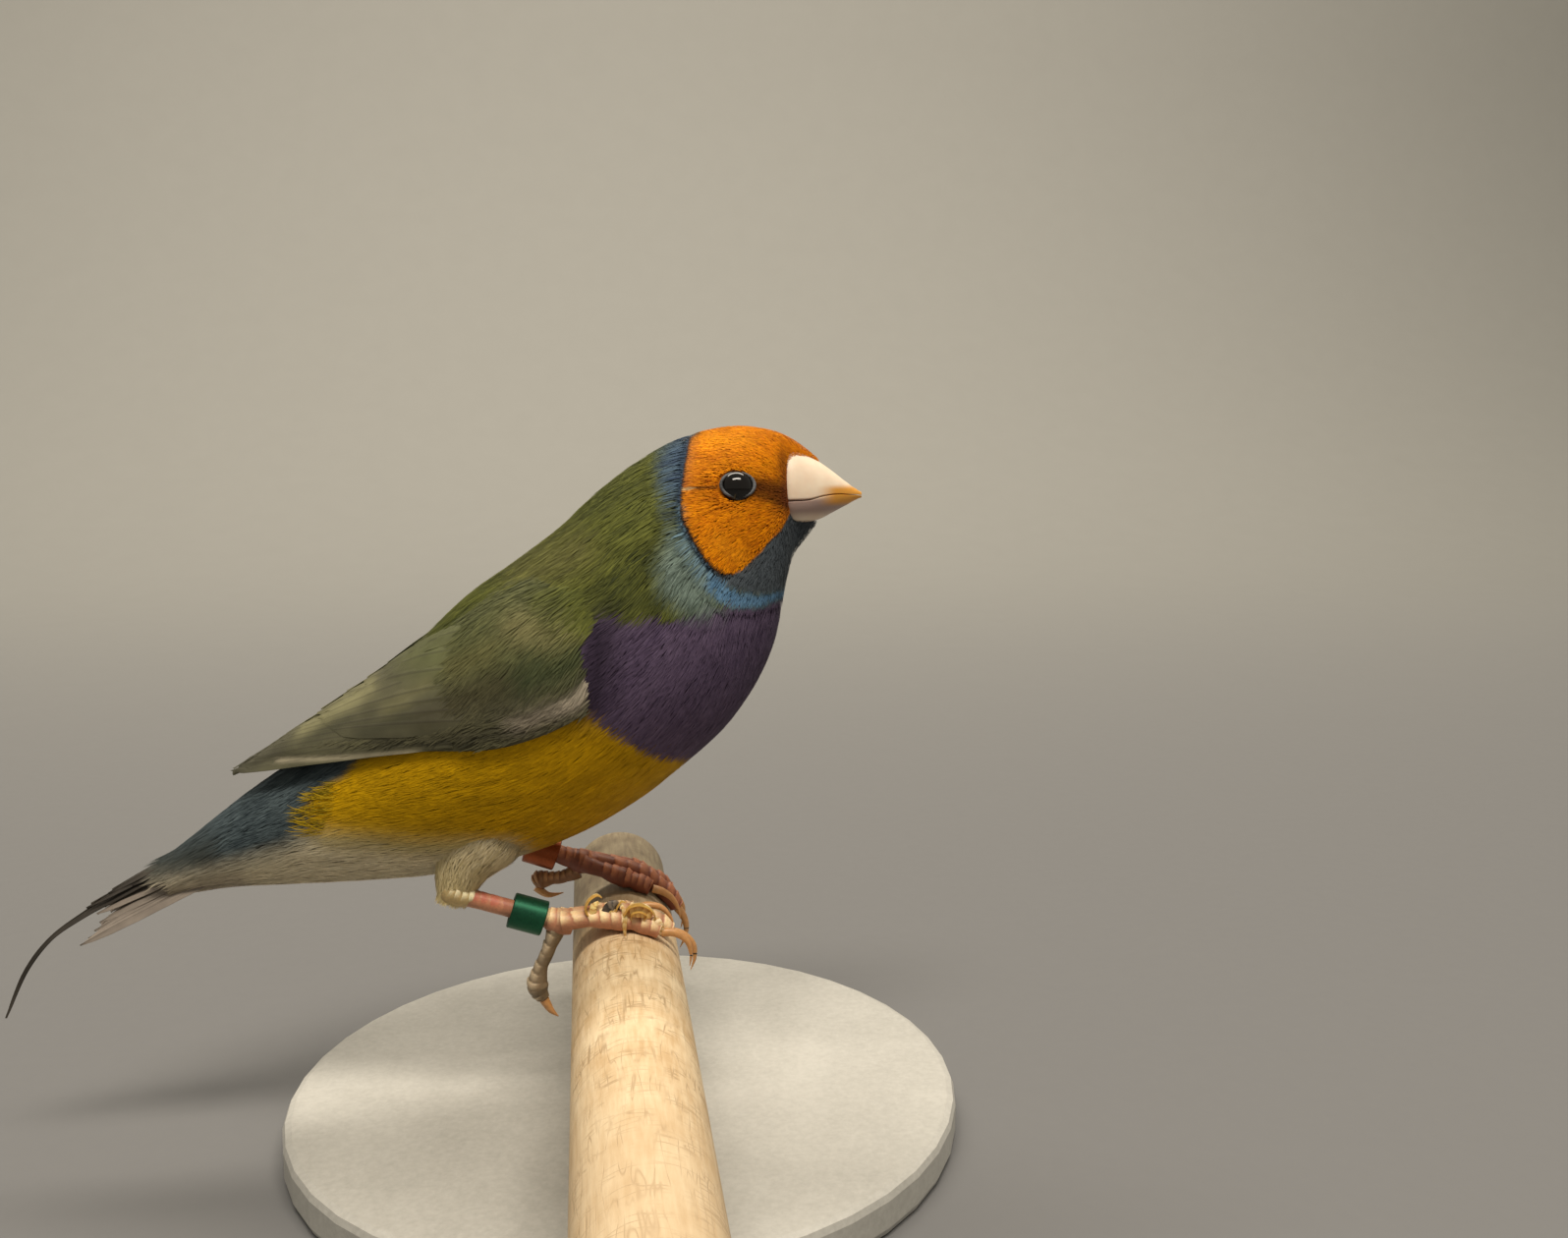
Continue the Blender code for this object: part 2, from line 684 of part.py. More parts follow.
def build_head(parent):
    """The head with its eye sockets, lids and the seat of the bill, and the eyes in it."""
    head = body_length("head", 0.0, HEAD_END, HEAD_RINGS, HEAD_SIDES)
    place, turn = side_place(BODY, *EYE_PLACE)
    at, out = surface_point(BODY, place, turn), surface_normal(BODY, place, turn)
    lids, sockets = [], []
    for side, sign in (("right", 1), ("left", -1)):
        other_side = Vector((1, sign, 1))
        centre = (at - out * (EYE_RADIUS - EYE_BULGE)) * other_side
        lids.append(eye_lid(at * other_side, out * other_side))
        sockets.append(ball("socket", centre, (EYE_RADIUS + GAP,) * 3, 12, 8))
        link(ball("eye", centre, (EYE_RADIUS,) * 3), "eye_" + side, make_material("eye", 0.1), parent)
    apply_boolean(head, lids, "UNION")
    apply_boolean(head, [*sockets, bill_seat()], "DIFFERENCE")
    link(head, "head", make_material("mask"), parent)


def build_bill(parent):
    """The two halves of the bill, the upper one with its nostrils."""
    upper = bill_half("upper", True)
    x, y, z = NOSTRIL_PLACE
    nostrils = [ball("nostril", (x, side * y, z), NOSTRIL_RADII, 8, 6) for side in (-1, 1)]
    apply_boolean(upper, nostrils, "DIFFERENCE")
    link(upper, "bill_upper", make_material("bill", 0.4), parent)
    link(bill_half("lower", False), "bill_lower", make_material("bill", 0.4), parent)


def build_body(parent):
    """Neck, torso and rump, parted by thin cuts."""
    neck = body_length("neck", HEAD_END, NECK_END, NECK_RINGS, BODY_SIDES)
    torso = body_length("torso", NECK_END, TORSO_END, TORSO_RINGS, BODY_SIDES)
    rump = body_length("rump", TORSO_END, RUMP_END, RUMP_RINGS, BODY_SIDES)
    link(neck, "neck", make_material("nape"), parent)
    link(torso, "torso", make_material("breast"), parent)
    link(rump, "rump", make_material("rump"), parent)


def tented(direction, lean):
    """The upward side of a tail feather that leans out by an angle, to the bird's left if positive."""
    flat = Vector((0, 1, 0)).cross(direction).normalized()
    if flat.z < 0:
        flat = -flat
    return (flat * math.cos(lean) + Vector((0, 1, 0)) * math.sin(lean)).normalized()


def tail_thread(sign):
    """One of the two long middle tail feathers, whose roots lie apart and whose threads meet."""
    last = len(THREAD_PATH) - 1
    curved, straight, end = THREAD_SPREAD

    def path(share):
        x, z = smooth_step(THREAD_PATH, share * last)
        return Vector((x, sign * (curved * (1 - share) ** 2 + straight * (1 - share) + end), z))

    def normals(share):
        ahead = path(min(share + SHARE_STEP, 1.0)) - path(max(share - SHARE_STEP, 0.0))
        return tented(ahead, math.radians(THREAD_LEAN) * sign)

    return vane("thread", path, normals, 1.0, THREAD_THICKNESS, THREAD_OUTLINE)


def side_feather(i):
    """One of the graduated feathers on the tail's right side."""
    root, tip = (Vector(start) + Vector(step) * i for start, step in (SIDE_ROOT, SIDE_TIP))
    normal = tented(tip - root, -math.radians(SIDE_LEAN[0] + SIDE_LEAN[1] * i))

    def path(share):
        return root.lerp(tip, share) + Vector((0, 0, SIDE_BOW)) * 4 * share * (1 - share)

    def normals(_share):
        return normal

    return vane("side_feather", path, normals, SIDE_HALF_WIDTH, outline=SIDE_OUTLINE)


def build_tail(parent):
    """The two middle feathers with their threads, and the feathers tented down on each side."""
    middle = apply_boolean(tail_thread(-1), [tail_thread(1)], "UNION")
    feathers = [side_feather(i) for i in range(SIDE_FEATHERS)]
    right = apply_boolean(feathers[0], feathers[1:], "UNION")
    apply_boolean(right, [grown_copy(middle)], "DIFFERENCE")
    left = mirrored(right)
    link(middle, "tail_middle", make_material("tail_dark"), parent)
    link(right, "tail_right", make_material("tail_pale"), parent)
    link(left, "tail_left", make_material("tail_pale"), parent)


def leg_joints(leg):
    """Hip, hock and foot joint of a leg, and the direction in which its shank runs down."""
    hip, hock, foot = (Vector((leg[key][0], leg["y"], leg[key][1])) for key in ("hip", "hock", "foot"))
    return hip, hock, foot, (foot - hock).normalized()


def build_thigh(side, leg, parent):
    """The feathered thigh: a tapered limb with a round hock, cut free of the body and of the shank."""
    hip, hock, _foot, down = leg_joints(leg)
    knee = hip.lerp(hock, KNEE_SHARE) + Vector(KNEE_OFFSET)
    points = (hip, hip.lerp(knee, 0.5), knee, knee.lerp(hock, 0.55), hock)
    thigh = tube("thigh", points, THIGH_RADII, 5, flatness=THIGH_FLATNESS)
    apply_boolean(thigh, [ball("hock", hock, HOCK_RADII)], "UNION")
    torso = body_length("torso_cutter", NECK_END - 1, TORSO_END + 3, 40, BODY_SIDES, THIGH_CUT, 0.0)
    skirt = hock + down * THIGH_SKIRT
    shank_seat = tube("shank_seat", (skirt, skirt + down * SHANK_SEAT_DEPTH), (SHANK_SEAT_RADIUS,) * 2, 4)
    apply_boolean(thigh, [torso, shank_seat], "DIFFERENCE")
    link(thigh, "thigh_" + side, make_material("thigh", 0.9), parent)


def scuted(points, radii, bands, swell=SCUTE_SWELL):
    """Adds overlapping bands along a limb by stepping its radius."""
    path = [tuple(p) for p in points]
    sizes = [(r,) for r in radii]
    last = len(path) - 1
    out_points, out_radii = [], []
    for i in range(bands):
        for offset, scale in ((0.0, swell), (SCUTE_SHARE, SCUTE_WAIST)):
            place = (i + offset) / bands * last
            out_points.append(smooth_step(path, place))
            out_radii.append(smooth_step(sizes, place)[0] * scale)
    return [*out_points, path[-1]], [*out_radii, radii[-1]]


def build_shank(side, leg, parent):
    """The scaled shank between thigh and foot, with its leg ring."""
    _hip, hock, foot, down = leg_joints(leg)
    start = hock + down * (THIGH_SKIRT + GAP)
    end = foot - down * SHANK_FOOT_SHARE
    radii = [TARSUS_RADIUS * share for share in TARSUS_SHAPE]
    points, radii = scuted((start, start.lerp(end, 0.5), end), radii, TARSUS_SCUTES, TARSUS_SWELL)
    link(tube("shank", points, radii), "shank_" + side, make_material("leg", 0.5), parent)
    build_ring("leg_ring_" + side, hock.lerp(foot, leg["ring_share"]), down, leg["ring"], parent)


def build_ring(name, middle, axis, colour, parent):
    """A closed leg ring, turned from its wall's profile, that hangs on the shank."""
    half = RING_LENGTH / 2
    profile = (
        (RING_OUTER, half), (RING_OUTER, -half), (RING_INNER, -half), (RING_INNER, half), (RING_OUTER, half),
    )
    mesh = bpy.data.meshes.new(name)
    mesh.from_pydata([(r * MM, 0, h * MM) for r, h in profile], [(i, i + 1) for i in range(4)], [])
    ring = bpy.data.objects.new(name, mesh)
    screw = ring.modifiers.new("turn", "SCREW")
    screw.steps = screw.render_steps = RING_STEPS
    screw.use_merge_vertices = True
    screw.merge_threshold = RING_WELD
    weld = ring.modifiers.new("close", "WELD")
    weld.merge_threshold = RING_WELD
    below = (Vector((0, 0, -1)) - axis * Vector((0, 0, -1)).dot(axis)).normalized()
    link(ring, name, make_material(colour, 0.35), parent)
    ring.location = (middle + below * (RING_INNER - RING_SHANK - GAP)) * MM
    ring.rotation_euler = axis.to_track_quat("Z", "Y").to_euler()


def perch_solid(name, axis_z, grow=0.0, bevel=0.0):
    """The cut length of perch, or a little fatter as a cutter, with its axis at a height."""
    near, far = (0, PERCH_NEAR_Y, axis_z), (0, PERCH_FAR_Y, axis_z)
    return cylinder(name, PERCH_RADIUS + grow, near, far, PERCH_SIDES, bevel)


def perch_point(angle, radius, y):
    """A point round the perch's axis, at an angle in degrees from +X."""
    turn = math.radians(angle)
    return (radius * math.cos(turn), y, -PERCH_RADIUS + radius * math.sin(turn))


def front_toe(leg, start_lean, end_lean, share):
    """The middle lines of a front toe, laid over the perch, and of its claw."""
    foot = leg_joints(leg)[2]
    inwards = math.copysign(1, -leg["y"])
    from_axis = Vector((foot.x, foot.z + PERCH_RADIUS))
    start_angle = math.degrees(math.atan2(from_axis.y, from_axis.x))
    end_angle = start_angle - (start_angle - leg["reach"]) * share
    rest = PERCH_RADIUS + TOE_RADIUS + TOE_CLEARANCE
    toe = []
    for i, t in enumerate(TOE_SHARES):
        angle = start_angle + (end_angle - start_angle) * t
        radius = rest + (from_axis.length - rest) * (1 - t) ** 3
        lean = start_lean + (end_lean - start_lean) * i / (len(TOE_SHARES) - 1)
        toe.append(perch_point(angle, radius, leg["y"] + inwards * lean))
    claw_y = leg["y"] + inwards * end_lean
    claw = [perch_point(end_angle - past, rest + rise * leg["claw_arch"], claw_y) for past, rise in CLAW_LINE]
    return toe, claw


def build_foot(side, leg, parent):
    """A foot whose four toes grip the perch, and its claws."""
    _hip, _hock, foot, down = leg_joints(leg)
    toes = [ball("pad", foot + down * SHANK_FOOT_SHARE, PAD_RADII, 10, 6)]
    claws = {}
    for name, form in FRONT_TOES.items():
        toe, claw = front_toe(leg, *form)
        points, radii = scuted(toe, [TOE_RADIUS * k for k in TOE_SHAPE], TOE_SCUTES)
        toes.append(tube("toe", points, radii))
        claws[name] = tube("claw", claw, CLAW_RADII, 1)
    hind_y = leg["y"] - math.copysign(HIND_TOE_SHIFT, -leg["y"])
    hind_toe, hind_claw = ([(x, hind_y, z) for x, z in leg[key]] for key in ("hind_toe", "hind_claw"))
    points, radii = scuted(hind_toe, [TOE_RADIUS * k for k in HIND_TOE_SHAPE], HIND_TOE_SCUTES)
    toes.append(tube("hind_toe", points, radii))
    toes.append(ball("hind_toe_end", hind_toe[-1], (HIND_TOE_END,) * 3, 10, 8))
    claws["hind"] = tube("claw", hind_claw, HIND_CLAW_RADII, 1)

    solid = apply_boolean(toes[0], toes[1:], "UNION")
    end = foot - down * (SHANK_FOOT_SHARE - GAP)
    seat = tube("shank_cutter", (end - down * FOOT_SEAT_DEPTH, end), (FOOT_SEAT_RADIUS,) * 2, 4)
    apply_boolean(solid, [perch_solid("perch_cutter", -PERCH_RADIUS, GAP), seat], "DIFFERENCE")
    for name, claw in claws.items():
        cutters = [grown_copy(solid), perch_solid("perch_cutter", -PERCH_RADIUS, GAP)]
        apply_boolean(claw, cutters, "DIFFERENCE")
        link(claw, f"claw_{name}_{side}", make_material("claw", 0.4), parent)
    link(solid, "foot_" + side, make_material("leg", 0.5), parent)


def build_stand():
    """The base, two rods and the cut length of perch."""
    base = cylinder("base", BASE_RADIUS, (0, 0, 0), (0, 0, BASE_HEIGHT), BASE_SIDES, BASE_BEVEL)
    link(base, "stand_base", make_material("stand", 0.6))
    link(perch_solid("perch", PERCH_AXIS_Z, 0.0, PERCH_BEVEL), "perch", make_material("perch", 0.8))
    for i, y in enumerate(ROD_PLACES_Y, 1):
        rod = cylinder("rod", ROD_RADIUS, (0, y, BASE_HEIGHT + GAP), (0, y, PERCH_AXIS_Z), ROD_SIDES)
        apply_boolean(rod, [perch_solid("rod_cutter", PERCH_AXIS_Z, GAP)], "DIFFERENCE")
        link(rod, f"stand_rod_{i}", make_material("rod", 0.3, 1.0))


def main():
    """Builds the finch on its perch and stand."""
    for obj in list(bpy.data.objects):
        bpy.data.objects.remove(obj)
    finch = bpy.data.collections.new("gouldian_finch")
    bpy.context.scene.collection.children.link(finch)
    bird = bpy.data.objects.new("bird", None)
    bird.location = (0, 0, PERCH_TOP * MM)
    finch.objects.link(bird)
    build_stand()
    build_head(bird)
    build_bill(bird)
    build_body(bird)
    build_wings(bird)
    build_tail(bird)
    for side, leg in LEGS.items():
        build_thigh(side, leg, bird)
        build_shank(side, leg, bird)
        build_foot(side, leg, bird)


main()
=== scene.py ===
"""The looks of a life-size museum model of a male gouldian finch on a short perch with a plain stand.

The bird faces +X and its middle plane is Y = 0. Its own sizes are in millimetres above the perch's top line;
Place.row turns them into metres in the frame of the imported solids.
"""

import logging
import math
from collections.abc import Callable
from dataclasses import dataclass, field
from enum import Enum

import bmesh
import bpy
import numpy as np
from mathutils import Matrix, Vector


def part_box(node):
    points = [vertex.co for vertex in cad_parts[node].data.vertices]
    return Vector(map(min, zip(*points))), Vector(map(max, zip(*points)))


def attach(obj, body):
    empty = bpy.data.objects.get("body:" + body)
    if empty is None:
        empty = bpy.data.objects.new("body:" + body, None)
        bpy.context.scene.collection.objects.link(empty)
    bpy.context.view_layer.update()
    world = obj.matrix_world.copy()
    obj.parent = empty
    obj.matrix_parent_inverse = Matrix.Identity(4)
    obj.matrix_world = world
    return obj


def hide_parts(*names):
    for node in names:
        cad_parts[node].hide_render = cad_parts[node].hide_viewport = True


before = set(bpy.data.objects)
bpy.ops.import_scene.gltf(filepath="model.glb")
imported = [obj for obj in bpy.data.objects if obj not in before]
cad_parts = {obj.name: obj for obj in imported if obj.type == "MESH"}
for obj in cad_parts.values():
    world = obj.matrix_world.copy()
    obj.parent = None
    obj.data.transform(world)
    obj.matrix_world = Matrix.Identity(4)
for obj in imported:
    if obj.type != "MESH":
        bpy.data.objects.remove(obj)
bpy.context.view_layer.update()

MM = 0.001
PERCH_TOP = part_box("perch")[1].z / MM
SEED = 11
BODY_NAME = "root"
SIDES = (("right", 1), ("left", -1))
log = logging.getLogger("finch")

Array = np.ndarray
Spot = tuple[float, float]
Point = tuple[float, float, float]
Shape = bmesh.types.BMesh
Material = bpy.types.Material
Laid = Callable[[Array, Array], tuple[Array, Array]]


def linear(hex_colour: str) -> tuple[float, float, float, float]:
    """Turns an sRGB hex colour into linear light.

    Args:
        hex_colour: six hex digits.

    Returns:
        Red, green, blue and alpha.
    """
    parts = [int(hex_colour[i : i + 2], 16) / 255 for i in (0, 2, 4)]
    red, green, blue = (c / 12.92 if c <= 0.04045 else ((c + 0.055) / 1.055) ** 2.4 for c in parts)
    return red, green, blue, 1.0


def rgb(hex_colour: str) -> Array:
    """Red, green and blue of an sRGB hex colour in linear light."""
    return np.array(linear(hex_colour)[:3])


def feed(node: bpy.types.Node, inputs: dict[str | int, object]) -> None:
    """Fills a node's sockets.

    Args:
        node: the node.
        inputs: sockets by name or number, each a value, another node's output, or a node, whose first output in
            use is taken.
    """
    for name, value in inputs.items():
        if isinstance(value, bpy.types.Node):
            value = next(socket for socket in value.outputs if socket.enabled)
        if isinstance(value, bpy.types.NodeSocket):
            node.id_data.links.new(value, node.inputs[name])
        else:
            node.inputs[name].default_value = value


def add(tree: bpy.types.NodeTree, kind: str, inputs: dict | None = None, **settings: str) -> bpy.types.Node:
    """Adds a shader node with its settings and links.

    Args:
        tree: the material's node tree.
        kind: the node's type, without the words that all shader nodes start with.
        inputs: its sockets, as feed takes them.
        settings: attributes of the node.

    Returns:
        The new node.
    """
    made = tree.nodes.new("ShaderNode" + kind)
    for name, value in settings.items():
        setattr(made, name, value)
    feed(made, inputs or {})
    return made


def begun(name: str) -> tuple[Material, bpy.types.NodeTree, bpy.types.Node, bpy.types.NodeSocket]:
    """Begins a material.

    Args:
        name: its name.

    Returns:
        The material, its node tree, its shader and the object coordinates.
    """
    material = bpy.data.materials.new(name)
    material.use_nodes = True
    tree = material.node_tree
    return material, tree, tree.nodes["Principled BSDF"], add(tree, "TexCoord").outputs["Object"]


def dots(a: Array, b: Array) -> Array:
    """The dot product of each pair of rows."""
    return np.einsum("ij,ij->i", a, b)


def eased(share: Array) -> Array:
    """Shares from 0 to 1 with soft ends."""
    return share * share * (3 - 2 * share)


def smooth(values: Array, place: Array) -> Array:
    """Reads rows of numbers at fractional indices along a smooth curve through them.

    Args:
        values: one row for each station.
        place: fractional station numbers.

    Returns:
        One row for each place.
    """
    last = len(values) - 1
    place = np.clip(place, 0.0, last)
    i = np.minimum(place.astype(int), last - 1)
    t = (place - i)[:, None]
    b, c, d, e = (values[np.clip(i + k, 0, last)] for k in (-1, 0, 1, 2))
    return 0.5 * (2 * c + (d - b) * t + (2 * b - 5 * c + 4 * d - e) * t**2 + (3 * c - b - 3 * d + e) * t**3)


def unit(vectors: Array) -> Array:
    """The same directions with length one."""
    return vectors / np.maximum(np.linalg.norm(vectors, axis=-1, keepdims=True), 1e-9)


@dataclass(frozen=True)
class Trunk:
    """A form lofted through oval sections.

    Each station is its back (x, z), its belly (x, z) and its half width; side is the Y of its middle plane.
    """

    stations: tuple[tuple[Spot, Spot, float], ...]
    side: float = 0.0

    @property
    def last(self) -> float:
        """The number of the last station."""
        return len(self.stations) - 1.0

    @property
    def axis(self) -> Array:
        """The direction in which the form runs at its last station."""
        return unit(np.diff(self.sections(np.array([self.last - 1, self.last]))[0], axis=0)[0])

    def sections(self, place: Array) -> tuple[Array, Array, Array, Array]:
        """Reads the cross sections.

        Args:
            place: fractional station numbers.

        Returns:
            Centres, upward directions, half heights and half widths.
        """
        rows = np.array([(*back, *belly, width) for back, belly, width in self.stations])
        read = smooth(rows, place)
        zero = np.zeros(len(read))
        back = np.stack([read[:, 0], zero, read[:, 1]], 1)
        belly = np.stack([read[:, 2], zero, read[:, 3]], 1)
        centre = (back + belly) / 2
        centre[:, 1] = self.side
        return centre, unit(back - belly), np.linalg.norm(back - belly, axis=1) / 2, read[:, 4]

    def points(self, place: Array, turn: Array, lift: Array | float = 0.0) -> Array:
        """Points on the form.

        Args:
            place: fractional station numbers.
            turn: angles from the back, positive to the bird's right.
            lift: how far off the surface, in the section's plane.

        Returns:
            One point a row.
        """
        centre, up, height, width = self.sections(place)
        side = np.array([0.0, -1.0, 0.0])
        cos, sin = np.cos(turn)[:, None], np.sin(turn)[:, None]
        high, wide = height[:, None], width[:, None]
        outward = unit(up * wide * cos + side * high * sin)
        return centre + up * high * cos + side * wide * sin + outward * np.reshape(lift, (-1, 1))

    def slopes(self, place: Array, turn: Array) -> tuple[Array, Array, Array]:
        """The surface's directions.

        Args:
            place: fractional station numbers.
            turn: angles from the back.

        Returns:
            Change along the stations, change round the section, and the outward direction.
        """
        step = 0.04
        ahead, behind = np.minimum(place + step, self.last), np.maximum(place - step, 0.0)
        along = (self.points(ahead, turn) - self.points(behind, turn)) / (ahead - behind)[:, None]
        around = (self.points(place, turn + step) - self.points(place, turn - step)) / (2 * step)
        normal = unit(np.cross(around, along))
        outward = self.points(place, turn, 1.0) - self.points(place, turn)
        flip = np.sign(dots(normal, outward))[:, None]
        return along, around, normal * np.where(flip == 0, 1.0, flip)

    def steps(self, place: Array, turn: Array, heading: Array) -> tuple[Array, Array]:
        """How far the station and the angle change for a millimetre in a direction along the surface.

        Args:
            place: fractional station numbers.
            turn: angles from the back.
            heading: unit directions along the surface.

        Returns:
            Changes of station and of angle.
        """
        along, around, _normal = self.slopes(place, turn)
        aa, bb, ab = (dots(p, q) for p, q in ((along, along), (around, around), (along, around)))
        ah, bh = dots(along, heading), dots(around, heading)
        det = np.maximum(aa * bb - ab * ab, 1e-6)
        return (ah * bb - bh * ab) / det, (bh * aa - ah * ab) / det

    def places(self, x: Array, z: Array) -> tuple[Array, Array]:
        """Finds where points seen from the side lie on the form.

        Args:
            x: places along the bird.
            z: heights.

        Returns:
            Station numbers, and angles from the back on the right side.
        """
        target = np.stack([x, np.full(len(x), self.side), z], 1)
        low, high = np.zeros(len(x)), np.full(len(x), self.last)
        for _ in range(30):
            middle = (low + high) / 2
            centre, up, _height, _width = self.sections(middle)
            ahead = np.stack([up[:, 2], np.zeros(len(x)), -up[:, 0]], 1)
            front = dots(target - centre, ahead) > 0
            high, low = np.where(front, middle, high), np.where(front, low, middle)
        centre, up, height, _width = self.sections(low)
        share = dots(target - centre, up) / height
        return low, np.arccos(np.clip(share, -0.995, 0.995))

    def shell(self, rings: int, sides: int, depth: float, cap: float) -> Shape:
        """Makes a closed form inside this one.

        Args:
            rings: rings from end to end.
            sides: sides of each ring.
            depth: how far it lies inside.
            cap: the share of the length that each rounded end takes.

        Returns:
            The form in metres.
        """

        def lay(share: Array, turn: Array) -> Array:
            """Points for shares of the way and angles round it."""
            inner, size = rounded(share, cap)
            centre = self.sections(inner * self.last)[0]
            return centre + (self.points(inner * self.last, turn, -depth) - centre) * size[:, None]

        return wrap(rings, sides, lay)


BODY = Trunk(
    (
        ((28.6, 63.7), (28.3, 55.3), 1.2), ((26.3, 65.6), (26.6, 53.0), 2.5), ((23.6, 67.3), (24.6, 50.4), 4.0),
        ((20.3, 68.3), (23.6, 47.2), 6.7), ((16.3, 68.6), (23.0, 44.4), 8.5), ((11.8, 67.9), (22.5, 41.4), 9.5),
        ((7.0, 66.1), (21.7, 38.0), 10.6), ((1.8, 63.0), (20.2, 34.3), 12.4), ((-3.2, 59.1), (17.8, 30.2), 14.2),
        ((-8.6, 54.2), (14.2, 25.7), 15.6), ((-14.4, 49.9), (9.0, 21.2), 16.4), ((-20.6, 45.6), (2.4, 16.2), 16.6),
        ((-27.0, 39.6), (-6.0, 11.6), 16.0), ((-33.2, 33.4), (-15.5, 8.3), 14.4), ((-39.4, 27.6), (-25.5, 6.5), 12.0),
        ((-45.6, 22.6), (-35.5, 5.9), 9.2), ((-51.6, 18.4), (-45.5, 5.7), 6.8), ((-57.0, 14.2), (-54.0, 5.5), 4.8),
        ((-61.6, 10.6), (-60.2, 4.8), 3.8)
    )
)
WING_SHELL = Trunk(
    (
        ((-3.2, 59.3), (17.8, 30.0), 14.6), ((-8.6, 54.5), (14.2, 25.5), 16.1), ((-14.4, 50.2), (9.0, 21.0), 16.9),
        ((-20.6, 45.7), (2.4, 16.0), 17.1), ((-27.0, 40.0), (-6.0, 11.4), 16.6), ((-33.8, 34.4), (-15.5, 8.1), 15.0),
        ((-40.4, 29.8), (-25.5, 8.0), 12.6), ((-46.8, 25.5), (-35.5, 10.5), 9.6), ((-53.0, 21.7), (-48.0, 14.5), 5.6),
        ((-58.0, 18.6), (-55.0, 14.5), 3.6)
    )
)


class Place:
    """Turns the bird's own millimetres into the row frame's metres."""

    @staticmethod
    def row(points: Array) -> Array:
        """Points in metres in the row frame."""
        return (points + np.array([0.0, 0.0, PERCH_TOP])) * MM


def finished(
    shape: Shape, name: str, material: Material, replaces: tuple[str, ...] = (),
    sharp: float = 40.0
) -> bpy.types.Object:
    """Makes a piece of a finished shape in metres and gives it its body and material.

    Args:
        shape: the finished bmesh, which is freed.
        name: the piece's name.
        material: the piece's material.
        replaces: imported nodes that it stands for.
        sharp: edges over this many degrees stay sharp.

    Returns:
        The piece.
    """
    mesh = bpy.data.meshes.new(name)
    shape.to_mesh(mesh)
    shape.free()
    mesh.shade_smooth()
    mesh.set_sharp_from_angle(angle=math.radians(sharp))
    return listed(mesh, name, material, replaces)


def listed(
    mesh: bpy.types.Mesh, name: str, material: Material, replaces: tuple[str, ...] = ()
) -> bpy.types.Object:
    """Links a finished mesh as a piece.

    Args:
        mesh: the finished mesh.
        name: the piece's name.
        material: the piece's material.
        replaces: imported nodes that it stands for.

    Returns:
        The piece.
    """
    piece = bpy.data.objects.new(name, mesh)
    bpy.context.scene.collection.objects.link(piece)
    mesh.materials.append(material)
    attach(piece, BODY_NAME)
    if replaces:
        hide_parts(*replaces)
    log.info("%s: %d faces", name, len(mesh.polygons))
    return piece


def join(whole: Shape, shape: Shape) -> None:
    """Adds a shape to a larger one.

    Args:
        whole: the larger shape.
        shape: the shape, which is freed.
    """
    mesh = bpy.data.meshes.new("part")
    shape.to_mesh(mesh)
    shape.free()
    whole.from_mesh(mesh)
    bpy.data.meshes.remove(mesh)


def tint(mesh: bpy.types.Mesh, colours: Array) -> None:
    """Gives a mesh its plumage colours.

    Args:
        mesh: the mesh.
        colours: a linear colour for each vertex.
    """
    rgba = np.ones((len(colours), 4), np.float32)
    rgba[:, :3] = colours
    mesh.attributes.new("plumage", "FLOAT_COLOR", "POINT").data.foreach_set("color", rgba.ravel())


def wrap(rings: int, sides: int, lay: Callable[[Array, Array], Array]) -> Shape:
    """A closed form: a ball whose rings are laid along a shape.

    Args:
        rings: rings from pole to pole.
        sides: sides of each ring.
        lay: gives points in the bird's millimetres for shares of the way and angles round it.

    Returns:
        The form as a bmesh in metres, its faces outwards.
    """
    shape = bmesh.new()
    bmesh.ops.create_uvsphere(shape, u_segments=sides, v_segments=rings, radius=1.0)
    at = np.array([v.co[:] for v in shape.verts])
    share = np.arccos(np.clip(at[:, 2], -1, 1)) / math.pi
    for vertex, spot in zip(shape.verts, Place.row(lay(share, np.arctan2(at[:, 1], at[:, 0])))):
        vertex.co = spot
    bmesh.ops.recalc_face_normals(shape, faces=shape.faces)
    return shape


def rounded(share: Array, cap: float) -> tuple[Array, Array]:
    """Splits the way along a closed form into its rounded ends and its length.

    Args:
        share: shares of the way from pole to pole.
        cap: the share that each end takes.

    Returns:
        Shares of the length, and how wide the section is there from 0 to 1.
    """
    inner = np.clip((share - cap) / (1 - 2 * cap), 0, 1)
    edge = np.clip(np.minimum(share, 1 - share) / cap, 0, 1)
    return inner, np.sqrt(1 - (1 - edge) ** 2)


def line_distance(x: Array, z: Array, start: Spot, end: Spot) -> Array:
    """How far points lie from a straight line.

    Args:
        x: places along the bird.
        z: heights.
        start: one end.
        end: the other end.

    Returns:
        Millimetres.
    """
    (x1, z1), (x2, z2) = start, end
    length = max((x2 - x1) ** 2 + (z2 - z1) ** 2, 1e-6)
    run = np.clip(((x - x1) * (x2 - x1) + (z - z1) * (z2 - z1)) / length, 0, 1)
    return np.hypot(x - x1 - run * (x2 - x1), z - z1 - run * (z2 - z1))


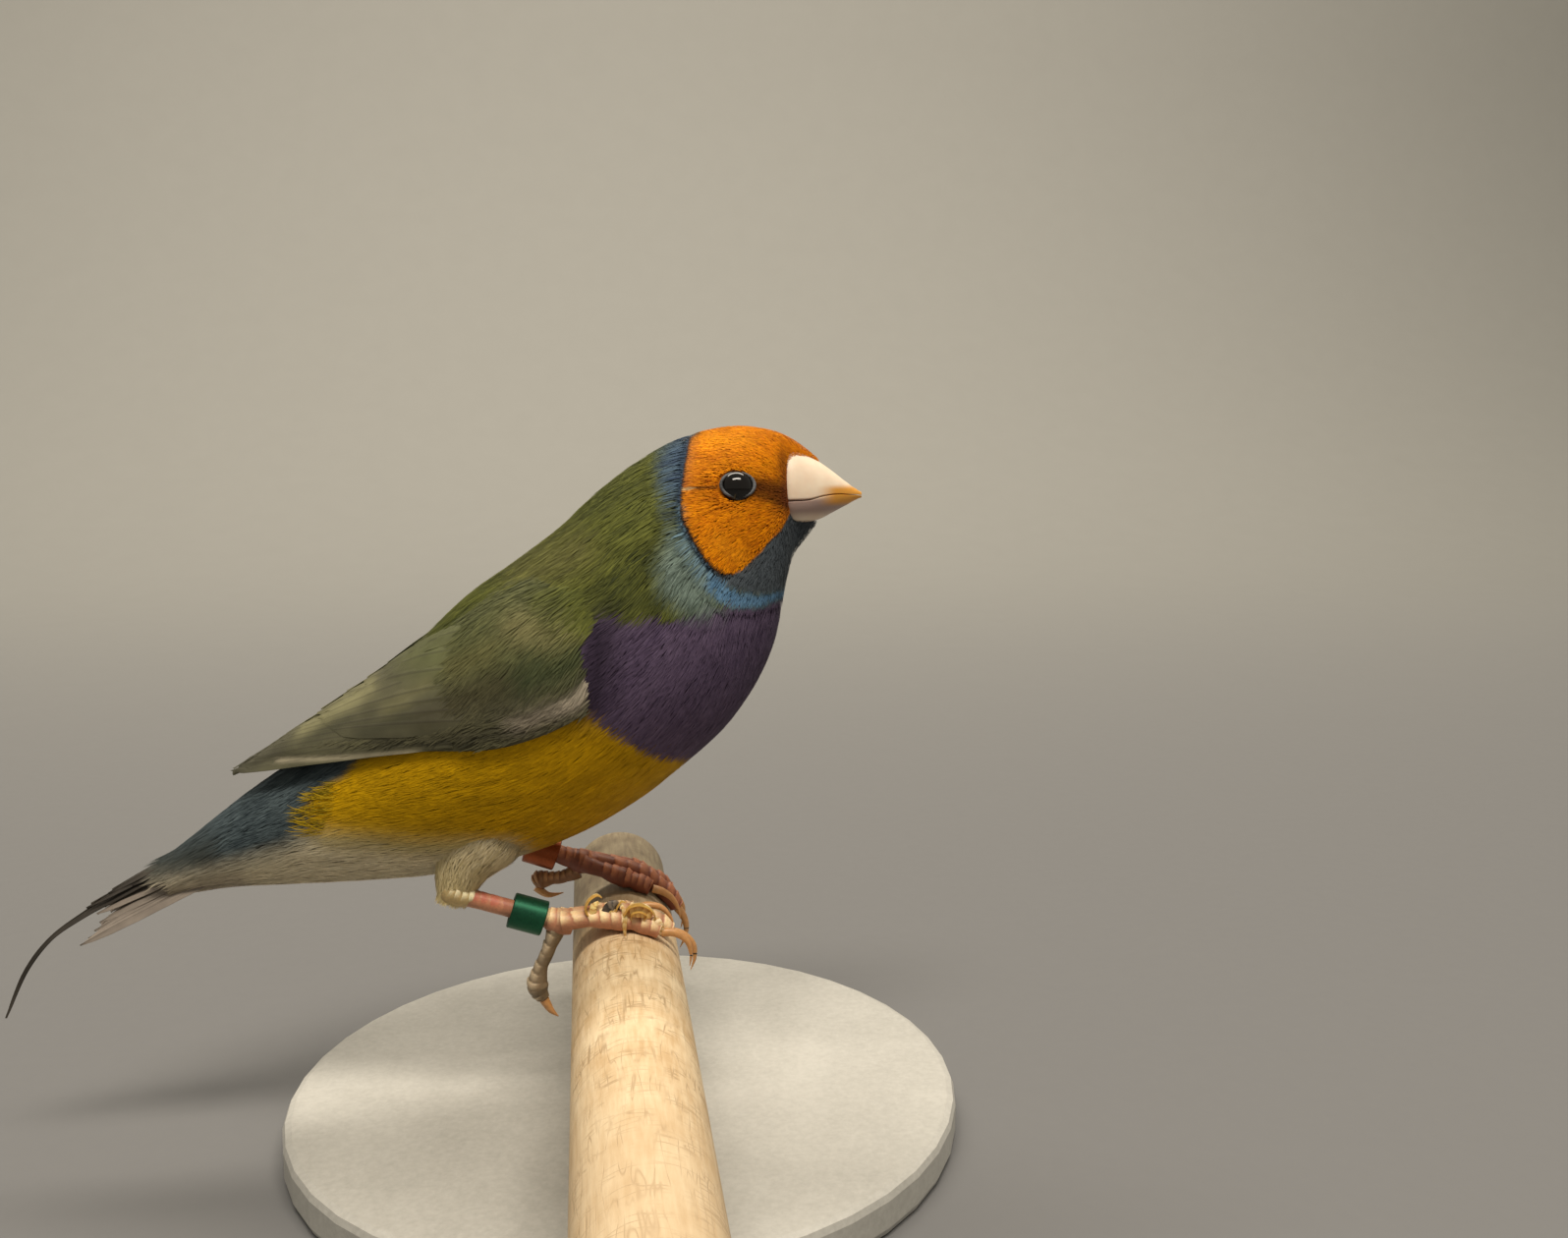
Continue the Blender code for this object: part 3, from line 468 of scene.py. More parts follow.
def signed_distance(x: Array, z: Array, outline: tuple[Spot, ...]) -> Array:
    """How far points lie inside an outline.

    Args:
        x: places along the bird.
        z: heights.
        outline: corners in order.

    Returns:
        Millimetres, positive inside.
    """
    inside = np.zeros(len(x), bool)
    nearest = np.full(len(x), 1e9)
    for (x1, z1), (x2, z2) in zip(outline, (*outline[1:], outline[0])):
        nearest = np.minimum(nearest, line_distance(x, z, (x1, z1), (x2, z2)))
        if z1 != z2:
            inside ^= ((z1 > z) != (z2 > z)) & (x < (x2 - x1) * (z - z1) / (z2 - z1) + x1)
    return np.where(inside, nearest, -nearest)


class Tract(Enum):
    """The regions of small feathers, each a piece of the coat."""

    MANTLE = "mantle"
    RUMP = "rump"
    BELLY = "belly"
    VENT = "vent"
    BREAST = "breast"
    NAPE = "nape"
    THROAT = "throat"
    MASK = "mask"


@dataclass(frozen=True)
class Field:
    """A patch of one colour, seen from the side.

    outline holds its corners, edge how wide its border blends, pale and dark the two colours that its feathers
    vary between.
    """

    tract: Tract
    outline: tuple[Spot, ...]
    edge: float
    pale: str
    dark: str


@dataclass(frozen=True)
class Stroke:
    """A soft line or spot of colour: its ends, half width, colour and strength."""

    start: Spot
    end: Spot
    width: float
    colour: str
    strength: float

    def share(self, x: Array, z: Array) -> Array:
        """How strongly it colours each point."""
        return self.strength * np.exp(-((line_distance(x, z, self.start, self.end) / self.width) ** 2))


@dataclass(frozen=True)
class Markings:
    """The colours of a plumage, laid over one another in order, for the skin and the feathers alike."""

    ground: tuple[str, str]
    fields: tuple[Field, ...]
    strokes: tuple[Stroke, ...] = ()

    def read(self, x: Array, z: Array, vary: Array | float = 0.5) -> Array:
        """The colour at points seen from the side.

        Args:
            x: places along the bird.
            z: heights.
            vary: where each feather lies between its dark and its pale colour.

        Returns:
            Linear colours, one a row.
        """
        mix = np.broadcast_to(np.reshape(vary, (-1, 1)), (len(x), 1))
        pale, dark = (rgb(colour) for colour in self.ground)
        colour = dark + (pale - dark) * mix
        for patch in self.fields:
            pale, dark = rgb(patch.pale), rgb(patch.dark)
            share = eased(np.clip(signed_distance(x, z, patch.outline) / patch.edge + 0.5, 0, 1))[:, None]
            colour = colour * (1 - share) + (dark + (pale - dark) * mix) * share
        for stroke in self.strokes:
            share = np.clip(stroke.share(x, z), 0, 1)[:, None]
            colour = colour * (1 - share) + rgb(stroke.colour) * share
        return colour

    def tracts(self, x: Array, z: Array) -> Array:
        """Finds the tract at points seen from the side.

        Args:
            x: places along the bird.
            z: heights.

        Returns:
            The numbers of their tracts in Tract.
        """
        order = list(Tract)
        found = np.zeros(len(x), int)
        for patch in self.fields:
            found[signed_distance(x, z, patch.outline) > 0] = order.index(patch.tract)
        return found


def paint(piece: bpy.types.Object, markings: Markings, vary: float, shade: float = 1.0) -> bpy.types.Object:
    """Gives a piece the markings at its vertices.

    Args:
        piece: the piece.
        markings: the colours.
        vary: where it lies between the dark and the pale colours.
        shade: how light it is beside them.

    Returns:
        The piece.
    """
    at = np.empty(len(piece.data.vertices) * 3, np.float32)
    piece.data.vertices.foreach_get("co", at)
    at = at.reshape(-1, 3) / MM
    tint(piece.data, markings.read(at[:, 0], at[:, 2] - PERCH_TOP, vary) * shade)
    return piece


FLANK_LINE = ((-41.9, 14.8), (-38.3, 14.6), (-33.1, 14.2), (-26.8, 13.5), (-20.4, 13.7), (-15.3, 13.4), (-13.5, 11.1))
MASK_REAR = (
    (11.3, 67.8), (9.9, 67.0), (9.4, 65.4), (8.8, 62.9), (8.5, 61.2), (8.2, 59.5), (8.1, 57.5), (8.2, 56.1),
    (8.8, 55.1), (9.3, 53.9), (10.2, 52.4), (11.1, 50.9), (12.3, 49.7), (13.4, 49.0)
)
MASK_FRONT = ((14.7, 48.8), (16.1, 49.3), (17.4, 50.4), (19.0, 51.8), (20.4, 53.3), (21.9, 54.4), (22.5, 55.2))
BODY_MARKINGS = Markings(
    ground=("6D7130", "343A1D"),
    fields=(
        Field(Tract.RUMP, ((-38, 42), (-72, 42), (-72, 2), (-33, 2), (-31, 24), (-36, 29)), 1.6, "5A676B", "2A343A"),
        Field(
            Tract.BELLY,
            (
                (-4, 38), (-14, 36), (-28, 33), (-34, 26), (-36.7, 22.8), (-39.5, 21.3), (-41.1, 19.7), (-41.8, 17.4),
                (-41.4, 15.5), *FLANK_LINE, (-11, 4), (14, 4), (14, 38)
            ),
            1.4, "DAAA00", "A07A00"
        ),
        Field(
            Tract.VENT,
            (
                *FLANK_LINE[::-1], (-44.4, 12.8), (-51.8, 10.3), (-57.4, 9.0), (-61.3, 8.2), (-70, 7), (-70, -4),
                (-11, -4), (-11, 4)
            ),
            4.6, "F2E7C8", "BAAD90"
        ),
        Field(
            Tract.BREAST,
            (
                (-3.6, 44.1), (0.5, 43.2), (5.4, 43.0), (8.9, 43.7), (11.0, 44.7), (13.6, 44.4), (16.3, 44.0),
                (19.0, 43.9), (21.6, 44.4), (30, 44.6), (30, 18), (10, 18), (8.4, 22.7), (4.7, 24.0), (2.3, 25.6),
                (0.2, 27.1), (-1.8, 28.8), (-3.3, 30.0), (-4.7, 31.6), (-7, 37)
            ),
            0.7, "70607A", "40334D"
        ),
        Field(
            Tract.NAPE,
            (
                (7.4, 72), (7.4, 66.7), (5.9, 65.3), (5.3, 63.0), (5.4, 59.9), (5.8, 57.4), (6.7, 54.2), (8.0, 51.1),
                (9.3, 48.5), (10.9, 46.4), (16, 48), (16, 72)
            ),
            2.8, "5A7284", "2A3850"
        ),
        Field(
            Tract.NAPE,
            ((6.6, 55), (4.4, 50.5), (4.8, 46.6), (8.5, 43.6), (13.0, 43.4), (12.6, 45.6), (10, 49), (8.2, 52.5)), 3.6,
            "87998F", "4B5A51"
        ),
        Field(
            Tract.THROAT,
            (
                (10.9, 49.0), (12.0, 48.6), (13.7, 47.3), (15.8, 46.3), (18.5, 45.8), (21.8, 45.9), (30, 46.1),
                (30, 44.8), (21.6, 44.6), (19.0, 44.1), (16.3, 44.2), (14.4, 44.5), (12.7, 45.4), (11.3, 47.0)
            ),
            1.1, "7AA4C8", "3E6486"
        ),
        Field(
            Tract.THROAT,
            (
                (11.9, 49.1), (13.7, 47.5), (15.8, 46.5), (18.5, 45.9), (21.8, 45.9), (30, 46.1), (32, 52), (32, 58),
                (22.5, 58), (12.5, 57)
            ),
            0.8, "626B73", "363C43"
        ),
        Field(
            Tract.MASK, (*MASK_REAR, *MASK_FRONT, (24, 57.4), (34, 57.4), (34, 74), (11.3, 74)), 0.3, "FB9E00", "BC6200"
        )
    ),
    strokes=(
        Stroke((9.0, 67.2), (7.6, 61.0), 1.3, "2E4260", 0.45), Stroke((7.7, 57.5), (7.6, 54.0), 0.7, "7EA2B8", 0.5),
        Stroke((7.6, 54.0), (10.9, 48.4), 0.8, "86A9BC", 0.6),
        *(Stroke(a, b, 0.24, "16130F", 0.7) for a, b in zip(((11.3, 72), *MASK_REAR), MASK_REAR)),
        *(Stroke(a, b, 0.3, "16130F", 0.7) for a, b in zip(MASK_REAR[6:], MASK_REAR[7:])),
        Stroke((13.4, 49.0), (14.7, 48.8), 0.3, "14120E", 0.7), Stroke((8.9, 60.35), (12.9, 60.45), 0.2, "3A1C08", 0.8),
        Stroke((8.5, 60.2), (9.4, 60.2), 0.16, "E8C890", 0.7), Stroke((18.6, 60.4), (23.0, 58.6), 1.4, "5C2803", 0.82),
        Stroke((17.8, 59.6), (23.2, 57.6), 0.5, "3E1C04", 0.5), Stroke((18.8, 60.6), (22.6, 60.2), 1.1, "421C02", 0.6),
        # the second stroke on the next line, a yellower streak along the crown, is a painted highlight on the top of
        # the head
        Stroke((22.5, 64.4), (22.8, 58.0), 0.9, "6A2A04", 0.6), Stroke((12.0, 66.6), (17.0, 67.0), 1.3, "F6A810", 0.35),
        Stroke((12.6, 53.4), (16.0, 51.2), 1.2, "F2A61C", 0.25), Stroke((15.8, 57.4), (12.6, 58.2), 0.9, "A85402", 0.3),
        Stroke((-2.5, 45.8), (4.2, 45.6), 2.0, "353A20", 0.45),
        Stroke((-13.0, 48.6), (-6.0, 52.0), 3.2, "6C6640", 0.45),
        Stroke((-3.0, 41.5), (-4.4, 33.0), 3.0, "2A2130", 0.85),
        Stroke((-56.0, 11.6), (-64.0, 8.6), 2.0, "33352F", 0.75),
        Stroke((-39.0, 14.6), (-20.0, 13.0), 2.0, "CDB45C", 0.5),
        Stroke((-53.0, 6.6), (-63.0, 4.6), 2.4, "94877A", 0.65)
    )
)


@dataclass(frozen=True)
class Tuft:
    """The form of a small feather's tuft: a thin closed blade with a low ridge.

    Rows are how far along it lies, how wide it is and how high its ridge is, all as shares.
    """

    stops: tuple[Point, ...] = ((0.34, 0.9, 1.0), (0.74, 0.8, 0.7))

    def template(self) -> tuple[Array, Array, Array]:
        """Makes one tuft.

        Returns:
            Vertices as (along, across, up), triangles, and the edges that stay sharp.
        """
        shape = bmesh.new()
        corner = 2 * math.pi / 3
        bmesh.ops.create_cone(shape, cap_ends=False, segments=3, radius1=1.0, radius2=1.0, depth=1.0)
        low, high = ([v for v in shape.verts if (v.co.z > 0) == top] for top in (False, True))
        for ring, (along, wide, ridge) in ((low, self.stops[0]), (high, self.stops[1])):
            for vertex in ring:
                side = round((math.atan2(vertex.co.x, vertex.co.y)) / corner)
                vertex.co = (along, side * wide, ridge if side == 0 else 0.0)
        for ring, end in ((low, 0.0), (high, 1.0)):
            rim = [e for e in shape.edges if all(v in ring for v in e.verts)]
            grown = bmesh.ops.extrude_edge_only(shape, edges=rim)["geom"]
            verts = [v for v in grown if isinstance(v, bmesh.types.BMVert)]
            for vertex in verts:
                vertex.co = (end, 0.0, 0.0)
            bmesh.ops.remove_doubles(shape, verts=verts, dist=1e-5)
        bmesh.ops.triangulate(shape, faces=shape.faces)
        bmesh.ops.recalc_face_normals(shape, faces=shape.faces)
        shape.verts.index_update()
        points = np.array([v.co[:] for v in shape.verts])
        faces = np.array([[v.index for v in f.verts] for f in shape.faces])
        sharp = np.array([[v.index for v in e.verts] for e in shape.edges if abs(sum(v.co.y for v in e.verts)) > 0.5])
        shape.free()
        return points, faces, sharp


@dataclass(frozen=True)
class Lie:
    """How a tract's tufts are cut and laid, in millimetres: size, number for a square millimetre, how deep
    the roots and how high the tips lie, how much each strays, how far the tips curl upwards, how soon a tuft
    rises from its root, how far it may run past the body's end, and how much neighbours in a lock share a tone."""

    width: float
    length: float
    density: float
    root: float = -0.55
    tip: float = 0.05
    ridge: float = 0.09
    stray: float = 0.06
    tips: float = 0.03
    vary: float = 0.16
    curl: float = 0.0
    rise: float = 0.28
    over: float = 2.4
    lock: float = 0.2


@dataclass(frozen=True)
class Flow:
    """How feathers lie, seen from the right, as marks of x, z and degrees below straight back."""

    marks: tuple[Point, ...]

    def heading(self, points: Array) -> Array:
        """Blends the marks near points.

        Args:
            points: the points, one a row.

        Returns:
            The directions in which feathers lie there, before they are turned along the skin.
        """
        marks = np.array(self.marks)
        gap = np.hypot(points[:, 0, None] - marks[:, 0], points[:, 2, None] - marks[:, 1])
        weight = 1 / (gap + 0.5) ** 3
        angle = np.radians((weight * marks[:, 2]).sum(1) / weight.sum(1))
        return np.stack([-np.cos(angle), np.zeros(len(angle)), -np.sin(angle)], 1)


BODY_FLOW = Flow(
    (
        (27, 64, -38), (24, 66.5, -25), (19, 68, -8), (14, 67.5, 4), (9, 66, 20), (3, 62, 34), (12, 60.4, 0),
        (18, 63, -10), (20, 59, 5), (18, 56, 22), (13, 54, 38), (9, 58, 12), (16, 50.5, 48), (22, 52, 55), (5, 58, 42),
        (2, 52, 52), (8, 48, 58), (-4, 56, 38), (-8, 50, 40), (-18, 46, 38), (-28, 38, 42), (15, 42, 68), (20, 40, 75),
        (8, 34, 52), (0, 32, 42), (8, 25, 36), (0, 22, 26), (-14, 20, 14), (-28, 16, 10), (-36, 20, 14), (-10, 10, 14),
        (-25, 9, 6), (-40, 22, 30), (-45, 14, 22), (-52, 12, 24), (-60, 8, 26), (-50, 6, 10), (-34, 7, 4)
    )
)
WING_FLOW = Flow(
    (
        (-6, 43, 50), (-12, 45, 44), (-20, 42, 42), (-28, 37, 40), (-10, 38, 56), (-18, 36, 52), (-26, 33, 44),
        (-8, 33, 26), (-14, 30.5, 13), (-24, 28, 8), (-34, 27, 8), (-36, 31, 32), (-44, 26, 22), (-4, 38, 60)
    )
)


class Coat:
    """Small feathers as joined meshes of tufts; PATCH is how long each tuft is in the OFBake map."""

    POINTS, FACES, SHARP = Tuft().template()
    PATCH = 0.003

    @staticmethod
    def locks(spot: Array, heading: Array, long: float, rng: np.random.Generator) -> Array:
        """Gathers tufts into long narrow locks.

        Args:
            spot: the roots.
            heading: the directions in which they lie.
            long: the length of a lock.
            rng: random source.

        Returns:
            A number from -1 to 1 for each tuft, the same within a lock.
        """
        leaders = rng.choice(len(spot), max(len(spot) // 40, 1), replace=False)
        tone = rng.uniform(-1, 1, len(leaders))
        found = np.empty(len(spot))
        for start in range(0, len(spot), 2000):
            part = slice(start, start + 2000)
            gap = spot[part, None] - spot[None, leaders]
            ahead = np.einsum("ijk,ik->ij", gap, heading[part])
            square = np.einsum("ijk,ijk->ij", gap, gap)
            found[part] = tone[np.argmin(square - ahead**2 + (ahead * 0.9 / long) ** 2, axis=1)]
        return found

    @classmethod
    def tufts(
        cls, form: Trunk, place: Array, turn: Array, heading: Array, lie: Lie, rng: np.random.Generator,
        stretch: Array | float = 1.0, ground: tuple[Array | float, Array | float] = (0.0, 0.0)
    ) -> tuple[Array, Array, Array]:
        """Lays tufts along a form.

        Args:
            form: what they lie on.
            place: stations of the roots.
            turn: angles of the roots.
            heading: unit directions in which they lie.
            lie: their cut.
            rng: random source.
            stretch: how much longer each is.
            ground: how far what they lie on stands off the form, at their roots and at their tips.

        Returns:
            Vertices in millimetres, one tuft a row, the middle point of each tuft, and where its tone lies
            between dark and pale.
        """
        count = len(place)
        normal = form.slopes(place, turn)[2]
        heading = unit(heading - normal * dots(heading, normal)[:, None])
        root = form.points(place, turn)
        lock = cls.locks(root, heading, lie.length, rng)
        wave = 0.06 * np.sin(root @ np.array([0.9, 0.6, 1.3])) + 0.05 * lock
        stray = (rng.normal(0, lie.stray, count) + wave)[:, None]
        heading = unit(heading + np.cross(normal, heading) * stray)
        step_place, step_turn = form.steps(place, turn, heading)
        side_place, side_turn = form.steps(place, turn, np.cross(normal, heading))
        curl = rng.normal(0, 0.06 * lie.length, count) - lie.curl * np.sign(np.sin(turn))
        length = lie.length * rng.uniform(0.75, 1.25, count) * stretch
        width = lie.width * rng.uniform(0.75, 1.25, count) / 2
        tip = lie.tip + rng.normal(0, lie.tips, count) + lock * lie.tips
        end = np.maximum(place + step_place * length - form.last, 0) / np.maximum(step_place, 0.05)
        length = np.maximum(length - np.maximum(end - lie.over * rng.uniform(0.2, 1.3, count), 0), 0.7)
        verts = np.empty((count, len(cls.POINTS), 3))
        middle = np.empty((count, 3))
        for share in np.unique(cls.POINTS[:, 0]):
            run = place + step_place * length * share + side_place * curl * share**2
            here_place = np.clip(run, 0, form.last)
            here_turn = turn + step_turn * length * share + side_turn * curl * share**2
            past = np.maximum(run - form.last, 0) / np.maximum(step_place, 0.05)
            spot = form.points(here_place, here_turn) + unit(form.axis * 0.8 + heading * 0.2) * past[:, None]
            _a, _b, out = form.slopes(here_place, here_turn)
            lift = lie.root + (tip - lie.root) * share**lie.rise + ground[0] + (ground[1] - ground[0]) * share
            across = unit(np.cross(out, heading))
            for index in np.flatnonzero(cls.POINTS[:, 0] == share):
                _s, side, ridge = cls.POINTS[index]
                verts[:, index] = spot + across * (side * width)[:, None] + out * (
                    lift + ridge * lie.ridge * width * 2
                )[:, None]
            if 0.5 < share < 0.9:
                middle = spot
        return verts, middle, np.clip(rng.normal(0.5, lie.vary, count) + lock * lie.lock, 0, 1)

    @classmethod
    def mesh(cls, name: str, verts: Array, colours: Array, spots: Array) -> bpy.types.Mesh:
        """Joins tufts into one mesh.

        Args:
            name: the mesh's name.
            verts: vertices in millimetres, one tuft a row.
            colours: one colour a tuft.
            spots: each root's place on the skin's unwrap, from 0 to 1.

        Returns:
            The mesh with its colours, darkened towards each tuft's root as painted shade, and its OFBake map.
        """
        count, size = len(verts), len(cls.POINTS)
        faces = (cls.FACES[None] + (np.arange(count) * size)[:, None, None]).reshape(-1, 3)
        mesh = bpy.data.meshes.new(name)
        mesh.vertices.add(count * size)
        mesh.vertices.foreach_set("co", Place.row(verts.reshape(-1, 3)).astype(np.float32).ravel())
        mesh.loops.add(faces.size)
        mesh.loops.foreach_set("vertex_index", faces.astype(np.int32).ravel())
        mesh.polygons.add(len(faces))
        mesh.polygons.foreach_set("loop_start", (np.arange(len(faces)) * 3).astype(np.int32))
        mesh.update(calc_edges=True)
        mesh.shade_smooth()
        # painted shade: each tuft is darker towards its root, where it lies deep among the others, and lighter towards
        # its tip
        shade = 0.9 + 0.12 * cls.POINTS[:, 0]
        tint(mesh, (colours[:, None, :] * shade[None, :, None]).reshape(-1, 3))
        corner = cls.FACES.ravel()
        patch = np.stack([cls.POINTS[corner, 0] - 0.5, cls.POINTS[corner, 1] / 2], 1) * cls.PATCH
        uv = 0.004 + 0.992 * spots[:, None, :] + patch[None]
        mesh.uv_layers.new(name="OFBake").data.foreach_set("uv", uv.astype(np.float32).ravel())
        edges = np.empty(len(mesh.edges) * 2, np.int32)
        mesh.edges.foreach_get("vertices", edges)
        ends = edges.reshape(-1, 2) % size
        sharp = np.zeros((size, size), bool)
        sharp[(*cls.SHARP.T,)] = sharp[(*cls.SHARP[:, ::-1].T,)] = True
        mesh.attributes.new("sharp_edge", "BOOLEAN", "EDGE").data.foreach_set("value", sharp[ends[:, 0], ends[:, 1]])
        return mesh


@dataclass(frozen=True)
class FeatherFinish:
    """Small body feathers: matt keratin barbs that scatter light at their rims, so they look soft.

    mottle is the size of the soft light and dark patches, strand the spacing of barbs, drawn coarser than the
    real 0.05 mm so that it shows.
    """

    name: str
    roughness: float = 0.7
    sheen: float = 0.02
    mottle: float = 3.0
    strand: float = 0.16
    depth: float = 0.12
    attribute: str = "plumage"

    def material(self) -> Material:
        """Makes the material.

        Returns:
            The material.
        """
        material, tree, shader, where = begun(self.name)
        colour = add(tree, "Attribute", attribute_name=self.attribute)
        patches = add(
            tree, "TexNoise", {"Vector": where, "Scale": 1 / (self.mottle * MM), "Detail": 3.0, "Roughness": 0.6}
        )
        barbs = add(
            tree, "TexNoise", {"Vector": where, "Scale": 1 / (self.strand * MM), "Detail": 2.0, "Roughness": 0.6}
        )
        value = add(
            tree, "MapRange",
            {"Value": patches, "From Min": 0.25, "From Max": 0.75, "To Min": 1 - self.depth, "To Max": 1 + self.depth}
        )
        fine = add(tree, "MapRange", {"Value": barbs, "From Min": 0.3, "From Max": 0.7, "To Min": 0.93, "To Max": 1.07})
        both = add(tree, "Math", {0: value, 1: fine}, operation="MULTIPLY")
        toned = add(tree, "HueSaturation", {"Value": both, "Color": colour})
        rough = add(
            tree, "MapRange", {"Value": barbs, "To Min": self.roughness - 0.08, "To Max": self.roughness + 0.08}
        )
        bump = add(tree, "Bump", {"Height": barbs, "Strength": 0.25, "Distance": 0.00005})
        feed(
            shader,
            {
                "Base Color": toned, "Roughness": rough, "Normal": bump, "Specular IOR Level": 0.12,
                "Sheen Weight": self.sheen, "Sheen Roughness": 0.5
            }
        )
        return material


@dataclass
class Plumage:
    """The skin and the small feathers of the body."""

    markings: Markings = BODY_MARKINGS
    depth: float = 0.5
    skin_rings: int = 150
    skin_sides: int = 84
    skin_voxel: float = 0.55
    fringe_roots: int = 9000
    fringe: Lie = Lie(0.1, 3.4, 0, root=-0.3, tip=0.3, stray=0.16, tips=0.14, curl=1.3, vary=0.35)
    lies: dict[Tract, Lie] = field(
        default_factory=lambda: {
            Tract.MANTLE: Lie(0.15, 4.4, 10.5, tips=0.05, vary=0.2, lock=0.26),
            Tract.RUMP: Lie(0.19, 3.8, 9.5, vary=0.16, over=3.4),
            Tract.BELLY: Lie(0.15, 5.0, 9.5, ridge=0.05, stray=0.05, tips=0.022, vary=0.1, lock=0.14),
            Tract.VENT: Lie(0.15, 4.6, 9.0, ridge=0.05, stray=0.08, tips=0.05, over=1.2, lock=0.1),
            Tract.BREAST: Lie(0.15, 3.2, 11.0, ridge=0.06, tips=0.02, vary=0.1, lock=0.12),
            Tract.NAPE: Lie(0.14, 2.9, 17.0, vary=0.18),
            Tract.THROAT: Lie(0.14, 1.6, 20.0, root=-0.5, ridge=0.06, vary=0.12, lock=0.1),
            Tract.MASK: Lie(
                0.11, 1.5, 30.0, root=-0.5, tip=0.0, ridge=0.05, stray=0.08, tips=0.02, vary=0.18, lock=0.17
            )
        }
    )

    def build_skin(self) -> bpy.types.Object:
        """Makes the one skin of head, neck, body and thighs under the feathers.

        Returns:
            The skin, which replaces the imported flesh.
        """
        shape = BODY.shell(self.skin_rings, self.skin_sides, self.depth, 0.02)
        for leg in LEGS:
            join(shape, Thigh(leg).form().shell(24, 24, 0.6, 0.12))
        mesh = bpy.data.meshes.new("skin_draft")
        shape.to_mesh(mesh)
        shape.free()
        draft = bpy.data.objects.new("skin_draft", mesh)
        bpy.context.scene.collection.objects.link(draft)
        remesh = draft.modifiers.new("whole", "REMESH")
        remesh.mode = "VOXEL"
        remesh.voxel_size = self.skin_voxel * MM
        remesh.use_smooth_shade = True
        soften = draft.modifiers.new("soften", "SMOOTH")
        soften.factor = 0.5
        soften.iterations = 2
        skin = bpy.data.meshes.new_from_object(draft.evaluated_get(bpy.context.evaluated_depsgraph_get()))
        bpy.data.objects.remove(draft)
        skin.name = "skin"
        finish = FeatherFinish("down_under_the_contour_feathers", roughness=0.8)
        flesh = ("head", "neck", "torso", "rump", "thigh_right", "thigh_left")
        return paint(listed(skin, "skin", finish.material(), flesh), self.markings, 0.2, 0.8)

    def roots(self, rng: np.random.Generator) -> tuple[Array, Array, Array]:
        """Scatters the roots of tufts evenly over the body.

        Args:
            rng: random source.

        Returns:
            Stations, angles and tract numbers.
        """
        order = list(Tract)
        density = np.array([self.lies[tract].density for tract in order])
        places, turns = 360, 300
        place = (np.arange(places) + 0.5) / places * BODY.last
        turn = (np.arange(turns) + 0.5) / turns * math.tau - math.pi
        place, turn = (grid.ravel() for grid in np.meshgrid(place, turn, indexing="ij"))
        along, around, _out = BODY.slopes(place, turn)
        area = np.linalg.norm(np.cross(along, around), axis=1) * (BODY.last / places) * (math.tau / turns)
        spot = BODY.points(place, turn)
        tract = self.markings.tracts(spot[:, 0], spot[:, 2])
        wanted = area * density[tract]
        wanted[self.hidden(spot)] = 0.0
        count = np.diff(np.floor(np.concatenate([[0.0], np.cumsum(wanted)]) + rng.uniform())).astype(int)
        index = np.repeat(np.arange(len(place)), count)
        place = place[index] + rng.uniform(-0.5, 0.5, len(index)) * BODY.last / places
        turn = turn[index] + rng.uniform(-0.5, 0.5, len(index)) * math.tau / turns
        spot = BODY.points(place, turn)
        keep = ~self.hidden(spot)
        place, turn, spot = place[keep], turn[keep], spot[keep]
        return place, turn, self.markings.tracts(spot[:, 0], spot[:, 2])

    def hidden(self, spot: Array) -> Array:
        """Tells where no tuft grows: at the bill's base, at the eye and under the folded wing.

        Args:
            spot: points, one a row.

        Returns:
            Which of them are bare.
        """
        x, y, z = spot.T
        bill = BillForm().inside(x, y, z)
        eye = np.hypot((x - EYE.x) / (EYE.wide + 0.12), (z - EYE.z) / (EYE.high + 0.12)) < 1
        covered = WingForm().covered(x, y, z)
        return bill | (eye & (np.abs(y) > 4)) | covered

    @staticmethod
    def stretch(spot: Array, near_eye: Array) -> Array:
        """Lengthens feathers towards the tail, and shortens them by the eye and the bill.

        Args:
            spot: the roots.
            near_eye: how far they lie from the eye, in eyes.

        Returns:
            How much longer each is.
        """
        tail = 1 + 0.6 * np.clip((-47 - spot[:, 0]) / 12, 0, 1)
        eye = np.clip((near_eye - 0.9) / 0.9, 0.35, 1)
        bill = np.clip((27.5 - spot[:, 0]) / 5, 0.5, 1)
        return tail * eye * bill

    def build_coat(self) -> None:
        """Makes the pieces of the coat."""
        rng = np.random.default_rng(SEED)
        place, turn, tract = self.roots(rng)
        for number, kind in enumerate(Tract):
            finish = FeatherFinish(kind.value + "_contour_feathers")
            material = finish.material()
            for side, sign in SIDES:
                chosen = (tract == number) & (np.sin(turn) * sign >= 0)
                lie = self.lies[kind]
                here_place, here_turn = place[chosen], turn[chosen]
                spot = BODY.points(here_place, here_turn)
                near_eye = np.hypot((spot[:, 0] - EYE.x) / EYE.wide, (spot[:, 2] - EYE.z) / EYE.high)
                stretch = self.stretch(spot, near_eye)
                if kind is Tract.MASK:
                    inside = signed_distance(spot[:, 0], spot[:, 2], self.markings.fields[-1].outline)
                    stretch *= np.clip(inside / 1.4, 0.35, 1)
                heading = BODY_FLOW.heading(spot)
                verts, middle, vary = Coat.tufts(BODY, here_place, here_turn, heading, lie, rng, stretch)
                colours = self.markings.read(middle[:, 0], middle[:, 2], vary)
                low, high = here_place.min(), here_place.max()
                round_it = np.abs((here_turn + math.pi) % math.tau - math.pi) / math.pi
                spots = np.stack([(here_place - low) / max(high - low, 1e-6), round_it], 1)
                mesh = Coat.mesh(f"coat_{kind.value}_{side}", verts, colours, spots)
                listed(mesh, mesh.name, material)
        self.build_fringe(rng)

